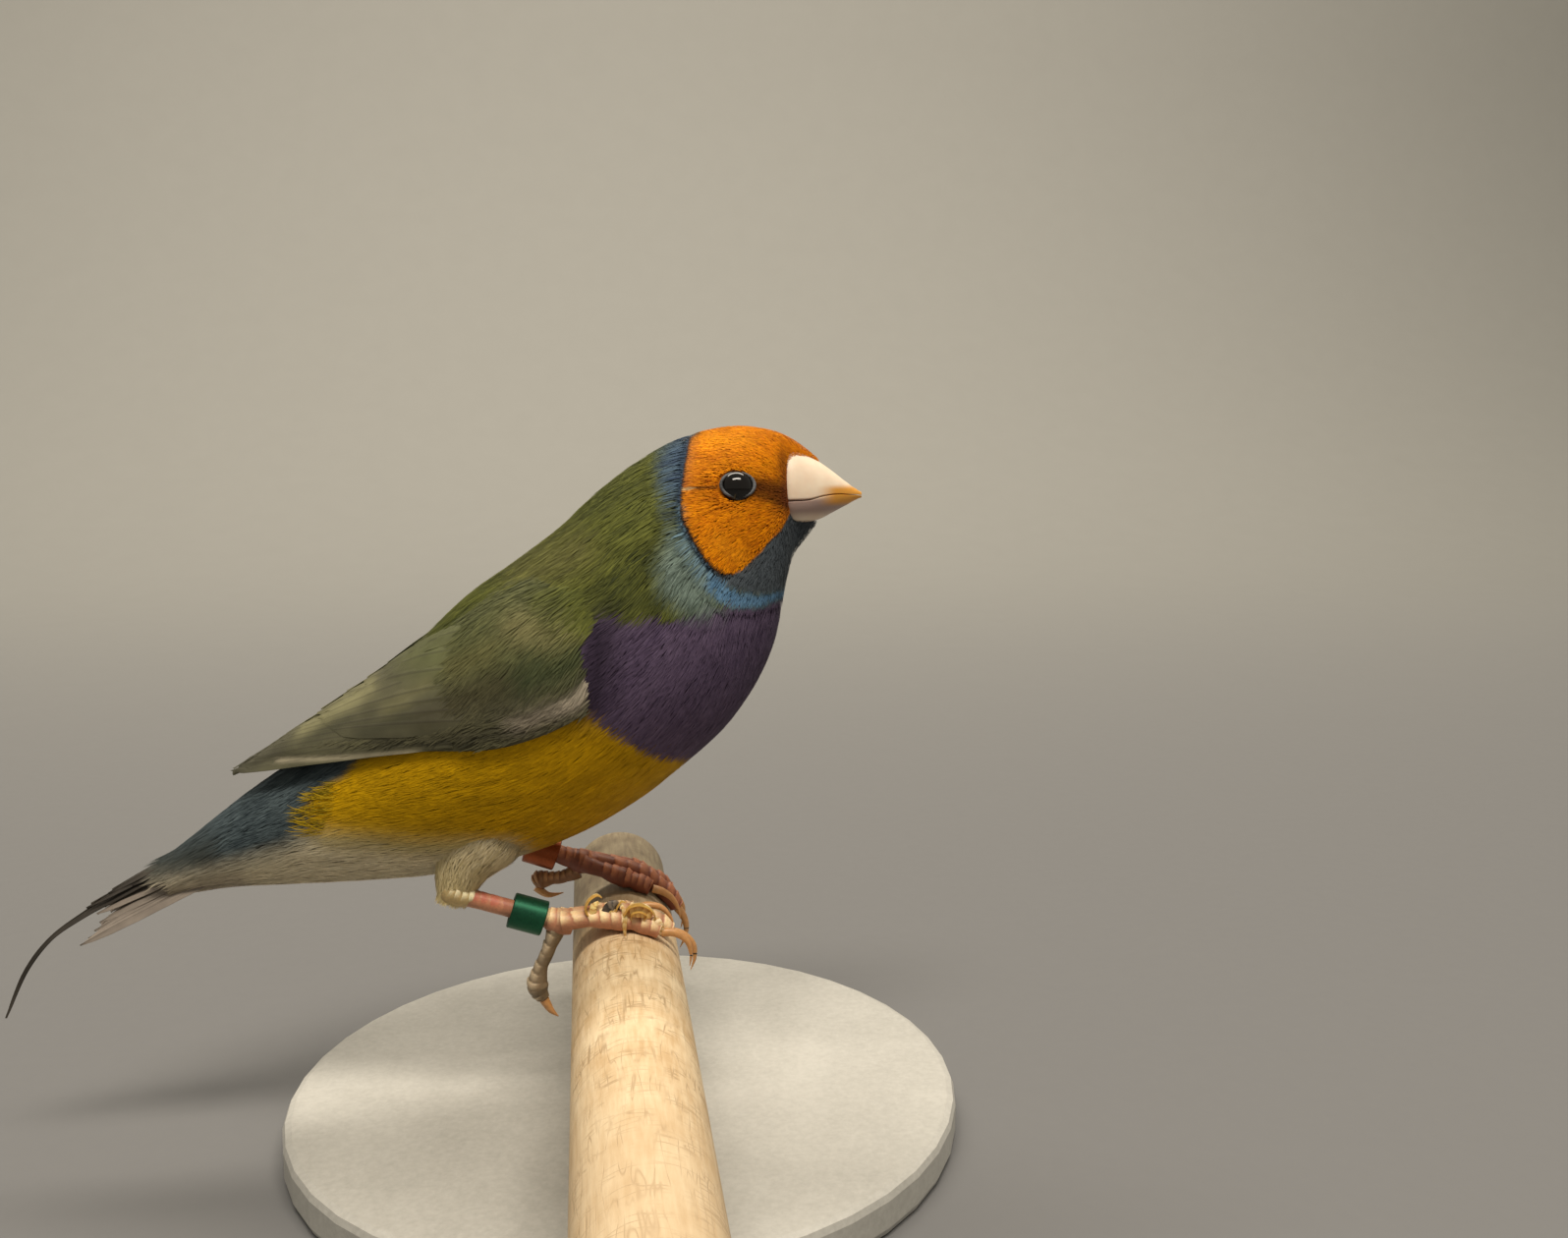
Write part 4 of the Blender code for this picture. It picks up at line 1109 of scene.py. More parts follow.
    def build_fringe(self, rng: np.random.Generator) -> None:
        """Makes the loose yellow barbs at the rear of the flanks, which curl over the rump.

        Args:
            rng: random source.
        """
        rear = (
            (-36.7, 22.8), (-39.5, 21.3), (-41.1, 19.7), (-41.8, 17.4), (-41.4, 15.4), (-39, 15.2), (-37.6, 18),
            (-36.6, 21)
        )
        material = FeatherFinish("flank_barbs").material()
        x, z = rng.uniform(-42, -31, self.fringe_roots), rng.uniform(14.5, 26, self.fringe_roots)
        depth = signed_distance(x, z, rear)
        share = 0.13 * np.exp(-1.2 * np.maximum(depth - 0.3, 0))
        chosen = (depth > 0.1) & (rng.uniform(0, 1, self.fringe_roots) < share)
        x, z = x[chosen], z[chosen]
        for side, sign in SIDES:
            place, turn = BODY.places(x, z)
            turn = turn * sign
            spot = BODY.points(place, turn)
            verts, _middle, share = Coat.tufts(BODY, place, turn, BODY_FLOW.heading(spot), self.fringe, rng)
            # the barbs vary between pale gold and a dark olive that is partly their own colour and partly painted shade
            # in the gaps between them
            pale, olive_and_shade = rgb("CCA81C"), rgb("5C520C")
            spots = np.stack([(x + 42) / 11, (z - 14.5) / 11.5], 1)
            mesh = Coat.mesh("coat_flank_" + side, verts, olive_and_shade + (pale - olive_and_shade) * share[:, None], spots)
            listed(mesh, mesh.name, material)


PERCH_RADIUS = (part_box("perch")[1].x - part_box("perch")[0].x) / MM / 2


@dataclass(frozen=True)
class Limb:
    """A scaled toe or shank, or a claw: points along its middle, radii there, and bands of scutes on top.

    top points to its upper side; pale and dark colour the scutes and the skin between them.
    """

    spine: tuple[Point, ...]
    radii: tuple[float, ...]
    scutes: int = 0
    swell: float = 0.1
    top: Point = (0.0, 0.0, 1.0)
    pale: str = "E8C690"
    dark: str = "C87A58"
    rings: int = 90
    sides: int = 24
    on_perch: bool = False
    flat: Spot = (1.0, 1.0)

    def chances(self) -> Array:
        """A number from 0 to 1 for each scute, so that no two are alike."""
        seed = SEED + self.scutes + int(100 * abs(self.spine[0][1]))
        return np.random.default_rng(seed).uniform(0, 1, self.scutes + 2)

    def grow(self, whole: Shape) -> None:
        """Adds the limb, with its colours, to a larger shape.

        Args:
            whole: the larger shape.
        """
        spine, radii = np.array(self.spine), np.array(self.radii)[:, None]
        last = len(spine) - 1
        shades: list[Array] = []

        def lay(share: Array, turn: Array) -> Array:
            """Points for shares of the way and angles round it; keeps the shades of its scutes."""
            inner, size = rounded(share, 0.07)
            place = inner * last
            centre = smooth(spine, place)
            run = unit(smooth(spine, place + 0.05) - smooth(spine, place - 0.05))
            radius = smooth(radii, place * (len(radii) - 1) / last)[:, 0]
            up = unit(np.array(self.top)[None, :] - run * (run @ np.array(self.top))[:, None])
            side = np.cross(run, up)
            ridge, chance = np.zeros(len(share)), np.full(len(share), 0.5)
            if self.scutes:
                number = inner * self.scutes + 0.12 * np.sin(2 * turn + 1.3) + 0.12
                phase = number % 1.0
                chance = self.chances()[number.astype(int)]
                upper = np.clip(np.cos(turn) * 1.4 + 0.35, 0, 1)
                ridge = (1 - phase) ** 0.7 * upper * (0.5 + chance)
                below = np.clip(-np.cos(turn), 0, 1) * np.abs(np.sin(inner * self.scutes * math.pi * 0.5)) * 0.6
                radius = radius * (1 + self.swell * (ridge + below - 0.4))
            shades.extend((ridge, chance))
            across = up * (np.cos(turn) * self.flat[0])[:, None] + side * (np.sin(turn) * self.flat[1])[:, None]
            points = centre + across * (radius * size)[:, None]
            if self.on_perch:
                gap = np.stack([points[:, 0], points[:, 2] + PERCH_RADIUS], 1)
                far = np.linalg.norm(gap, axis=1)
                push = np.maximum(PERCH_RADIUS + 0.04 - far, 0) / np.maximum(far, 1e-6)
                points[:, 0] += gap[:, 0] * push
                points[:, 2] += gap[:, 1] * push
            return points

        shape = wrap(self.rings, self.sides, lay)
        layer = shape.verts.layers.float_color.new("plumage")
        pale, dark = np.array(linear(self.pale)), np.array(linear(self.dark))
        for vertex, ridge, chance in zip(shape.verts, *shades):
            tone = (dark + (pale - dark) * min(max(ridge * 1.5 - 0.3, 0.0), 1.0)) * (0.85 + 0.3 * chance)
            vertex[layer] = (*tone[:3], 1.0)
        join(whole, shape)


@dataclass(frozen=True)
class Leg:
    """One leg: its joints as (x, z), its hind toe and claw as (x, z), the middle toe's end in degrees round
    the perch, how far its claws arch, and its colours."""

    name: str
    y: float
    hip: Spot
    hock: Spot
    foot: Spot
    ring_share: float
    ring: str
    hind_toe: tuple[Spot, ...]
    hind_claw: tuple[Spot, ...]
    reach: float
    arch: float
    pale: str
    dark: str
    bare: str
    # shade holds the hind toe's pale and dark colours; the right leg's darker olive pair is partly the toe's own colour
    # and partly painted shade
    shade: tuple[str, str]
    flakes: tuple[Limb, ...] = ()
    toe_radius: float = 1.22
    clearance: float = 0.1

    FRONT = {"inner": (0.9, 3.2, 0.6), "middle": (0.0, 0.3, 1.0), "outer": (-0.9, -2.9, 0.86)}
    CLAW = ((2, 0.0), (12, 0.9), (23, 1.25), (34, 0.75), (44, -0.1))

    @property
    def down(self) -> Array:
        """The direction from the hock to the foot."""
        return unit(self.at(self.foot) - self.at(self.hock))

    def at(self, spot: Spot) -> Array:
        """A side view place in the leg's plane."""
        return np.array([spot[0], self.y, spot[1]])

    def along(self, stops: tuple[Spot, ...]) -> tuple[tuple[float, ...], ...]:
        """Places on the line from hock to foot, for shares of the way and heights above it."""
        hock, foot = self.at(self.hock), self.at(self.foot)
        return tuple(tuple(hock + (foot - hock) * t + np.array([0.0, 0.0, rise])) for t, rise in stops)

    def round_perch(self, degrees: float, radius: float, y: float) -> Point:
        """A point round the perch's axis."""
        turn = math.radians(degrees)
        return radius * math.cos(turn), y, -PERCH_RADIUS + radius * math.sin(turn)

    def toe(self, start_lean: float, end_lean: float, share: float) -> tuple[list, list]:
        """Lays a front toe over the perch.

        Args:
            start_lean: how far its root lies inwards of the leg.
            end_lean: how far its end does.
            share: how far round it reaches beside the middle toe.

        Returns:
            The middle lines of the toe and of its claw.
        """
        inwards = math.copysign(1, -self.y)
        off = (self.foot[0], self.foot[1] + PERCH_RADIUS)
        first = math.degrees(math.atan2(off[1], off[0]))
        last = first - (first - self.reach) * share
        rest = PERCH_RADIUS + self.toe_radius + self.clearance
        line = []
        for t in np.linspace(0.04, 1, 7):
            radius = rest + (math.hypot(*off) - rest) * (1 - t) ** 3
            y = self.y + inwards * (start_lean + (end_lean - start_lean) * t)
            line.append(self.round_perch(first + (last - first) * t, radius, y))
        y = self.y + inwards * end_lean
        return line, [self.round_perch(last - past, rest + rise * self.arch, y) for past, rise in self.CLAW]

    def build(self) -> None:
        """Makes the shank, the foot, the claws and the ring."""
        skin = SkinFinish("scaled_leg_skin_" + self.name, self.pale, self.dark, 0.3, 0.5, 0.1, "plumage").material()
        horn = SkinFinish("claw_keratin_" + self.name, "D8AC62", "A8742E", 0.5, 0.32, 0.1, "plumage").material()
        foot = self.at(self.foot)
        shank = bmesh.new()
        up = (0.3, 0.0, 1.0)
        split = self.ring_share + 0.1
        heel = self.along(((-0.1, 0.5), (-0.02, 0.15), (0.09, 0.05), (0.2, 0.1)))
        upper = self.along(((0.02, 0.0), (0.3, 0.0), (split, 0.0)))
        lower = self.along(((split - 0.14, 0.0), (split + 0.1, 0.0), (1.0, 0.0)))
        Limb(heel, (1.3, 1.75, 1.5, 1.12), 5, 0.14, up, "EFE2BC", "B79E6C").grow(shank)
        Limb(upper, (1.3, 1.2, 1.25), 9, 0.035, up, self.bare, self.dark).grow(shank)
        Limb(lower, (1.2, 1.35, 1.6), 5, 0.1, up, self.pale, self.dark).grow(shank)
        finished(shank, "shank_skin_" + self.name, skin, ("shank_" + self.name,), 60)
        toes, claws = bmesh.new(), {}
        for name, form in self.FRONT.items():
            line, claw = self.toe(*form)
            shape = (1.35, 1.15, 1.3, 1.5, 1.2, 1.35, 1.05)
            Limb(tuple(line), shape, 9, 0.16, (0.0, 0.0, 1.0), self.pale, self.dark, 110, 24, True).grow(toes)
            claws[name] = (claw, (0.64, 0.54, 0.42, 0.25, 0.04))
        y = self.y - math.copysign(0.2, -self.y)
        hind = [(x, y, z) for x, z in self.hind_toe]
        Limb(tuple(hind), (1.3, 0.95, 1.0, 1.45, 0.85), 9, 0.16, (-1.0, 0.0, 0.3), *self.shade, 110, 24).grow(toes)
        claws["hind"] = ([(x, y, z) for x, z in self.hind_claw], (0.7, 0.45, 0.06))
        pad = foot + self.down * 0.7
        sole = tuple(tuple(pad + self.down * t) for t in (-1.9, 0.0, 1.7))
        Limb(sole, (1.5, 1.85, 1.3), 3, 0.1, (0.2, 0.0, 1.0), self.pale, self.dark, 50, 24).grow(toes)
        for flake in self.flakes:
            flake.grow(toes)
        finished(toes, "foot_skin_" + self.name, skin, ("foot_" + self.name,), 60)
        for name, (line, radii) in claws.items():
            claw = bmesh.new()
            Limb(tuple(line), radii, pale="DCB078", dark="C4905A", rings=48, sides=16).grow(claw)
            finished(claw, f"claw_horn_{name}_{self.name}", horn, (f"claw_{name}_{self.name}",), 60)
        self.build_ring()

    def build_ring(self) -> None:
        """Makes the closed leg ring, turned from its wall's rounded profile."""
        half, inner, outer, soft = 2.35, 1.85, 2.4, 0.12
        profile = [(inner + soft, -half), (outer - soft, -half), (outer, -half + soft), (outer, half - soft)]
        profile += [(outer - soft, half), (inner + soft, half), (inner, half - soft), (inner, -half + soft)]
        ring = bmesh.new()
        verts = [ring.verts.new((radius, 0, height)) for radius, height in profile]
        edges = [ring.edges.new(pair) for pair in zip(verts, verts[1:] + verts[:1])]
        bmesh.ops.spin(
            ring, geom=verts + edges, cent=(0, 0, 0), axis=(0, 0, 1), angle=math.tau, steps=96, use_merge=True
        )
        bmesh.ops.remove_doubles(ring, verts=ring.verts, dist=1e-4)
        bmesh.ops.recalc_face_normals(ring, faces=ring.faces)
        axis = Vector(self.down)
        below = (Vector((0, 0, -1)) - axis * Vector((0, 0, -1)).dot(axis)).normalized()
        middle = Vector(self.along(((self.ring_share, 0.0),))[0]) + below * 0.15
        turn = axis.to_track_quat("Z", "Y").to_matrix().to_4x4()
        bmesh.ops.transform(ring, matrix=Matrix.Translation(middle) @ turn, verts=ring.verts)
        EyeForm.to_row(ring)
        slot, pale, dark = RINGS[self.ring]
        finish = PlainFinish(
            self.ring + "_anodised_aluminium", pale, dark, 0.25, roughness=0.42, metallic=0.75, bump=0.08
        )
        finished(ring, f"{self.ring}_ring_{self.name}", finish.material(), ("leg_ring_" + self.name,), 30)


def curl(line: tuple[Point, ...], wide: float = 0.55, pale: str = "F0DE9C", dark: str = "C79C4C") -> Limb:
    """Makes a thin peeling scale seen on its edge, curled in the plane of the leg.

    Args:
        line: its middle line.
        wide: half its width.
        pale: its pale colour.
        dark: its dark colour.

    Returns:
        The scale.
    """
    return Limb(
        line, (wide, wide * 1.2, wide, wide * 0.5), 4, 0.12, (0.0, 1.0, 0.0), pale, dark, 40, 14, flat=(1.0, 0.24)
    )


def plate(line: tuple[Point, ...], wide: float = 0.5, pale: str = "EBD08A", dark: str = "BF8E46") -> Limb:
    """Makes a thin peeling scale that faces outwards.

    Args:
        line: its middle line.
        wide: half its width.
        pale: its pale colour.
        dark: its dark colour.

    Returns:
        The scale.
    """
    return Limb(
        line, (wide * 0.6, wide, wide * 0.9, wide * 0.35), 5, 0.16, (0.0, -1.0, 0.35), pale, dark, 40, 16,
        flat=(0.28, 1.0)
    )


RINGS = {"green": ("green_ring", "1E5A40", "123C2C"), "orange": ("orange_ring", "A2532C", "743A1E")}
LEGS = (
    Leg(
        "right", -9.0, (-14.5, 14.5), (-23.0, 5.8), (-9.6, 1.3), 0.72, "green",
        ((-9.4, 0.6), (-10.6, -2.4), (-11.9, -5.4), (-12.3, -7.8), (-11.6, -9.6)),
        # the olive pair at the end of the next line, for the hind toe, is partly painted shade
        ((-11.5, -9.8), (-10.6, -11.4), (-9.6, -12.4)), 48.0, 1.0, "F0D2A2", "B27A5C", "B2654F", ("BBA78A", "7A6850"),
        (
            curl(
                (
                    (-3.4, -10.3, 2.0), (-4.8, -10.6, 2.2), (-5.6, -10.8, 3.3), (-5.1, -10.8, 4.6), (-4.1, -10.6, 5.2),
                    (-3.4, -10.4, 4.8)
                ),
                0.7
            ),
            plate(((-3.7, -11.0, 1.9), (-4.5, -11.2, 2.8), (-4.5, -11.2, 3.8), (-3.8, -11.0, 4.4)), 0.5),
            # this dark grey plate fills the hole between the flakes: painted shade of that hole
            plate(
                ((-3.2, -11.2, 2.6), (-2.4, -11.3, 3.6), (-1.6, -11.3, 3.9), (-1.2, -11.2, 3.0)), 0.75, "6A5E50",
                "2E2822"
            ),
            plate(((-2.6, -11.3, 1.9), (-2.2, -11.6, 2.7), (-1.7, -11.6, 3.1), (-1.3, -11.4, 2.8)), 0.4),
            curl(((-1.6, -11.2, 2.6), (-1.3, -11.4, 3.6), (-0.7, -11.4, 4.4), (-0.1, -11.4, 4.2)), 0.45, "FBEFC4"),
            plate(((-0.8, -11.6, 4.1), (-0.3, -12.2, 2.8), (-0.4, -12.6, 1.2), (-0.3, -12.7, -0.2)), 0.34, "F2E0A8"),
            plate(
                ((-0.1, -12.0, 3.0), (1.1, -12.3, 3.4), (2.4, -12.4, 3.1), (3.3, -12.2, 2.3)), 0.95, "EDC67E", "C48E48"
            ),
            curl(
                (
                    (-0.4, -11.9, 2.6), (0.3, -12.2, 3.8), (1.7, -12.4, 4.2), (3.1, -12.3, 3.5), (3.8, -12.1, 2.2),
                    (3.4, -12.0, 1.5)
                ),
                0.6, "FBEDBE"
            ),
            curl(
                ((0.5, -12.5, 2.2), (0.7, -12.7, 3.1), (1.7, -12.8, 3.3), (2.6, -12.7, 2.7), (2.2, -12.6, 2.0)), 0.4,
                "F6DF9E"
            ),
            plate(((3.6, -12.2, 2.2), (4.2, -12.3, 1.4), (4.5, -12.3, 0.4), (4.4, -12.2, -0.3)), 0.6, "F4DDB4")
        )
    ),
    Leg(
        "left", 8.8, (-12.5, 16.0), (-20.5, 9.2), (-6.6, 4.1), 0.62, "orange",
        ((-6.6, 2.5), (-8.8, 1.6), (-10.8, 1.4), (-12.3, 1.2), (-13.1, 0.7)),
        ((-12.9, 0.2), (-11.2, -1.1), (-8.9, -0.9)), 26.0, 0.45, "B4724F", "7E432F", "8E4C36", ("B88C62", "886042")
    )
)


@dataclass(frozen=True)
class Thigh:
    """The feathered thigh: a tapered form from the hip to the hock, flattened against the body."""

    leg: Leg
    radii: tuple[float, ...] = (5.2, 5.0, 4.0, 3.0, 2.1)
    flatness: float = 0.72
    hip: Spot = (-2.6, 0.6)
    knee: Spot = (1.8, 5.2)
    heel: Spot = (-0.35, -0.7)
    roots: int = 6000
    lie: Lie = Lie(0.12, 2.9, 0, root=-0.5, tip=0.1, ridge=0.04, stray=0.16, tips=0.07, vary=0.14, over=0.9, lock=0.1)

    def form(self) -> Trunk:
        """Works out the thigh between hip, knee and hock.

        Returns:
            The thigh as a lofted form.
        """
        start = np.array(self.leg.hip) + np.array(self.hip)
        hock = np.array(self.leg.hock) + np.array(self.heel)
        knee = hock + np.array(self.knee)
        spine = smooth(np.array([start, knee, hock]), np.linspace(0, 2, len(self.radii)))
        stations = []
        for i, radius in enumerate(self.radii):
            run = spine[min(i + 1, len(spine) - 1)] - spine[max(i - 1, 0)]
            run /= np.linalg.norm(run)
            up = np.array([run[1], -run[0]])
            up = up if up[1] > 0 or abs(up[1]) < 0.2 and up[0] < 0 else -up
            stations.append((tuple(spine[i] + up * radius), tuple(spine[i] - up * radius), radius * self.flatness))
        return Trunk(tuple(stations), self.leg.y * 0.94)

    def build(self) -> None:
        """Makes the thigh's feathers."""
        rng = np.random.default_rng(SEED + len(self.leg.name))
        form = self.form()
        place = rng.uniform(0.0, form.last, self.roots)
        turn = rng.uniform(-math.pi, math.pi, self.roots)
        spot = form.points(place, turn)
        centre = BODY.places(spot[:, 0], spot[:, 2])
        inside = np.abs(spot[:, 1]) < np.abs(BODY.points(centre[0], centre[1])[:, 1]) - 1.2
        keep = ~(inside & (centre[0] < 17))
        place, turn = place[keep], turn[keep]
        along, _around, _out = form.slopes(place, turn)
        stretch = 1 - 0.3 * place / form.last
        verts, _middle, vary = Coat.tufts(form, place, turn, unit(along), self.lie, rng, stretch)
        upper, lower, dark = (rgb(colour) for colour in ("E8DDC2", "E8D49C", "C2B07E"))
        pale = upper + (lower - upper) * (place / form.last)[:, None]
        colours = dark + (pale - dark) * vary[:, None]
        spots = np.stack([place / form.last, (turn + math.pi) / math.tau], 1)
        mesh = Coat.mesh("coat_thigh_" + self.leg.name, verts, colours, spots)
        listed(mesh, mesh.name, FeatherFinish("thigh_down_" + self.leg.name).material())


@dataclass(frozen=True)
class EyeForm:
    """The eye and its bare lid."""

    x: float = 15.8
    z: float = 60.7
    radius: float = 2.45
    bulge: float = 1.05
    wide: float = 2.45
    high: float = 1.9
    ring: float = 2.14
    stretch: Spot = (1.07, 0.8)
    thickness: float = 0.23

    def seat(self) -> tuple[Vector, Vector]:
        """Where the eye's middle meets the head, and the outward direction, on the right."""
        place, turn = BODY.places(np.array([self.x]), np.array([self.z]))
        return Vector(BODY.points(place, turn)[0]), Vector(BODY.slopes(place, turn)[2][0])

    def build(self) -> None:
        """Makes both eyes and lids."""
        at, out = self.seat()
        glossy = EyeFinish().material()
        lid_skin = SkinFinish("bare_grey_eyelid", "64666A", "36383B", 0.3, 0.6, 0.0).material()
        for side, sign in SIDES:
            flip = Vector((1, sign, 1))
            here, outward = at * flip, out * flip
            centre = here - outward * (self.radius - self.bulge)
            ball = bmesh.new()
            bmesh.ops.create_uvsphere(ball, u_segments=48, v_segments=32, radius=self.radius)
            turn = outward.to_track_quat("Z", "Y").to_matrix().to_4x4()
            bmesh.ops.transform(ball, matrix=Matrix.Translation(centre) @ turn, verts=ball.verts)
            self.to_row(ball)
            finished(ball, "eye_ball_" + side, glossy, ("eye_" + side,))
            lid = bmesh.new()
            bmesh.ops.create_circle(lid, segments=10, radius=self.thickness)
            bmesh.ops.rotate(lid, cent=(0, 0, 0), matrix=Matrix.Rotation(math.pi / 2, 3, "X"), verts=lid.verts)
            bmesh.ops.translate(lid, vec=(self.ring, 0, 0), verts=lid.verts)
            bmesh.ops.spin(
                lid, geom=list(lid.verts) + list(lid.edges), cent=(0, 0, 0), axis=(0, 0, 1), angle=math.tau, steps=96,
                use_merge=True
            )
            for vertex in lid.verts:
                angle = math.atan2(vertex.co.y, vertex.co.x)
                bead = 1 + 0.05 * math.sin(angle * 24)
                centre_line = Vector((math.cos(angle), math.sin(angle), 0)) * self.ring
                vertex.co = centre_line + (vertex.co - centre_line) * bead
                vertex.co.x *= self.stretch[0]
                vertex.co.y *= self.stretch[1]
            bmesh.ops.remove_doubles(lid, verts=lid.verts, dist=1e-5)
            bmesh.ops.recalc_face_normals(lid, faces=lid.faces)
            across = outward.cross(Vector((0, 0, 1))).normalized()
            up = across.cross(outward)
            frame_of = Matrix((across, up, outward)).transposed().to_4x4()
            bmesh.ops.transform(lid, matrix=Matrix.Translation(here) @ frame_of, verts=lid.verts)
            if frame_of.determinant() < 0:
                bmesh.ops.reverse_faces(lid, faces=lid.faces)
            self.to_row(lid)
            finished(lid, "eye_lid_" + side, lid_skin)

    @staticmethod
    def to_row(shape: Shape) -> None:
        """Moves a shape in the bird's millimetres into the row frame."""
        bmesh.ops.translate(shape, vec=(0, 0, PERCH_TOP), verts=shape.verts)
        bmesh.ops.scale(shape, vec=(MM, MM, MM), verts=shape.verts)


EYE = EyeForm()


@dataclass(frozen=True)
class EyeFinish:
    """A glass eye: polished near-black glass."""
    # the sizes of its patterns, in millimetres
    cloud: float = 1.111

    def material(self) -> Material:
        """Makes the material.

        Returns:
            The material.
        """
        material, tree, shader, where = begun("polished_dark_glass_eye")
        cloud = add(tree, "TexNoise", {"Vector": where, "Scale": 1 / (self.cloud * MM), "Detail": 2.0})
        ramp = add(tree, "Mix", {0: cloud, 6: linear("050505"), 7: linear("120D0A")}, data_type="RGBA")
        rough = add(tree, "MapRange", {"Value": cloud, "To Min": 0.03, "To Max": 0.07})
        feed(shader, {"Base Color": ramp, "Roughness": rough, "Specular IOR Level": 0.4})
        return material


@dataclass(frozen=True)
class SkinFinish:
    """Bare bird skin or horn: two close tones in fine grain, with a faint waxy gloss."""

    name: str
    pale: str
    dark: str
    grain: float = 0.35
    roughness: float = 0.5
    subsurface: float = 0.15
    attribute: str = ""

    def material(self) -> Material:
        """Makes the material.

        Returns:
            The material.
        """
        material, tree, shader, where = begun(self.name)
        grain = add(
            tree, "TexNoise", {"Vector": where, "Scale": 1 / (self.grain * MM), "Detail": 4.0, "Roughness": 0.6}
        )
        soft = add(tree, "TexNoise", {"Vector": where, "Scale": 0.25 / (self.grain * MM), "Detail": 2.0})
        share = add(tree, "MapRange", {"Value": soft, "From Min": 0.35, "From Max": 0.65})
        if self.attribute:
            own = add(tree, "Attribute", attribute_name=self.attribute)
            value = add(
                tree, "MapRange", {"Value": grain, "From Min": 0.3, "From Max": 0.7, "To Min": 0.85, "To Max": 1.12}
            )
            mixed = add(tree, "HueSaturation", {"Value": value, "Color": own})
        else:
            mixed = add(tree, "Mix", {0: share, 6: linear(self.dark), 7: linear(self.pale)}, data_type="RGBA")
        rough = add(tree, "MapRange", {"Value": grain, "To Min": self.roughness - 0.1, "To Max": self.roughness + 0.1})
        bump = add(tree, "Bump", {"Height": grain, "Strength": 0.4, "Distance": 0.00006})
        feed(
            shader,
            {
                "Base Color": mixed, "Roughness": rough, "Normal": bump, "Subsurface Weight": self.subsurface,
                "Subsurface Radius": (0.0012, 0.0006, 0.0004), "Subsurface Scale": 1.0
            }
        )
        return material


@dataclass(frozen=True)
class BillForm:
    """The bill: stations of x, culmen height, mouth line, lower edge and half width."""

    stations: tuple[tuple[float, ...], ...] = (
        (21.6, 65.2, 58.1, 54.8, 3.9), (23.7, 65.6, 58.3, 54.5, 4.75), (26.2, 64.7, 58.4, 54.9, 4.2),
        (28.4, 63.5, 58.9, 55.5, 3.5), (30.4, 62.1, 59.1, 56.5, 2.7), (32.4, 60.6, 59.0, 57.5, 1.7),
        (33.7, 59.7, 58.9, 58.2, 0.9), (34.4, 59.3, 58.8, 58.45, 0.35)
    )
    seam: float = 0.05

    def read(self, x: Array) -> Array:
        """Culmen, mouth, lower edge and half width at places along the bill."""
        rows = np.array(self.stations)
        return smooth(rows[:, 1:], np.interp(x, rows[:, 0], np.arange(len(rows))))

    def inside(self, x: Array, y: Array, z: Array) -> Array:
        """Tells which points lie in the bill.

        Args:
            x: places along the bird.
            y: places to its left.
            z: heights.

        Returns:
            Which of them do.
        """
        top, mouth, bottom, width = self.read(x).T
        height = np.where(z > mouth, top - mouth, mouth - bottom)
        return (x > 22.6) & (np.hypot(y / width, (z - mouth) / height) < 1.0)

    def half(self, upper: bool) -> Shape:
        """Makes one half of the bill.

        Args:
            upper: whether it is the upper one.

        Returns:
            Its shape in metres.
        """
        first, last = self.stations[0][0], self.stations[-1][0]

        def lay(share: Array, turn: Array) -> Array:
            """Points for shares of the way and angles round it, flat along the mouth."""
            inner, size = rounded(share, 0.03)
            x = first + (last - first) * inner
            top, mouth, bottom, width = self.read(x).T
            turn = turn % math.tau
            arc = turn < math.pi * 1.3
            swing = turn / 1.3
            chord = (turn - math.pi * 1.3) / (math.pi * 0.7)
            y = np.where(arc, np.cos(swing), -1 + 2 * chord) * width
            rise = np.where(arc, np.sin(np.clip(swing, 0, math.pi)), 0.0)
            high = (top - mouth - self.seam) if upper else (bottom - mouth + self.seam)
            lift = self.seam if upper else -self.seam
            z = mouth + lift + rise * high
            middle = mouth + lift + high * 0.4
            return np.stack([x, y * size, middle + (z - middle) * size], 1)

        return wrap(70, 56, lay)

    def build(self) -> None:
        """Makes both halves."""
        horn = BillFinish().material()
        finished(self.half(True), "bill_upper_horn", horn, ("bill_upper",), 50)
        finished(self.half(False), "bill_lower_horn", horn, ("bill_lower",), 50)


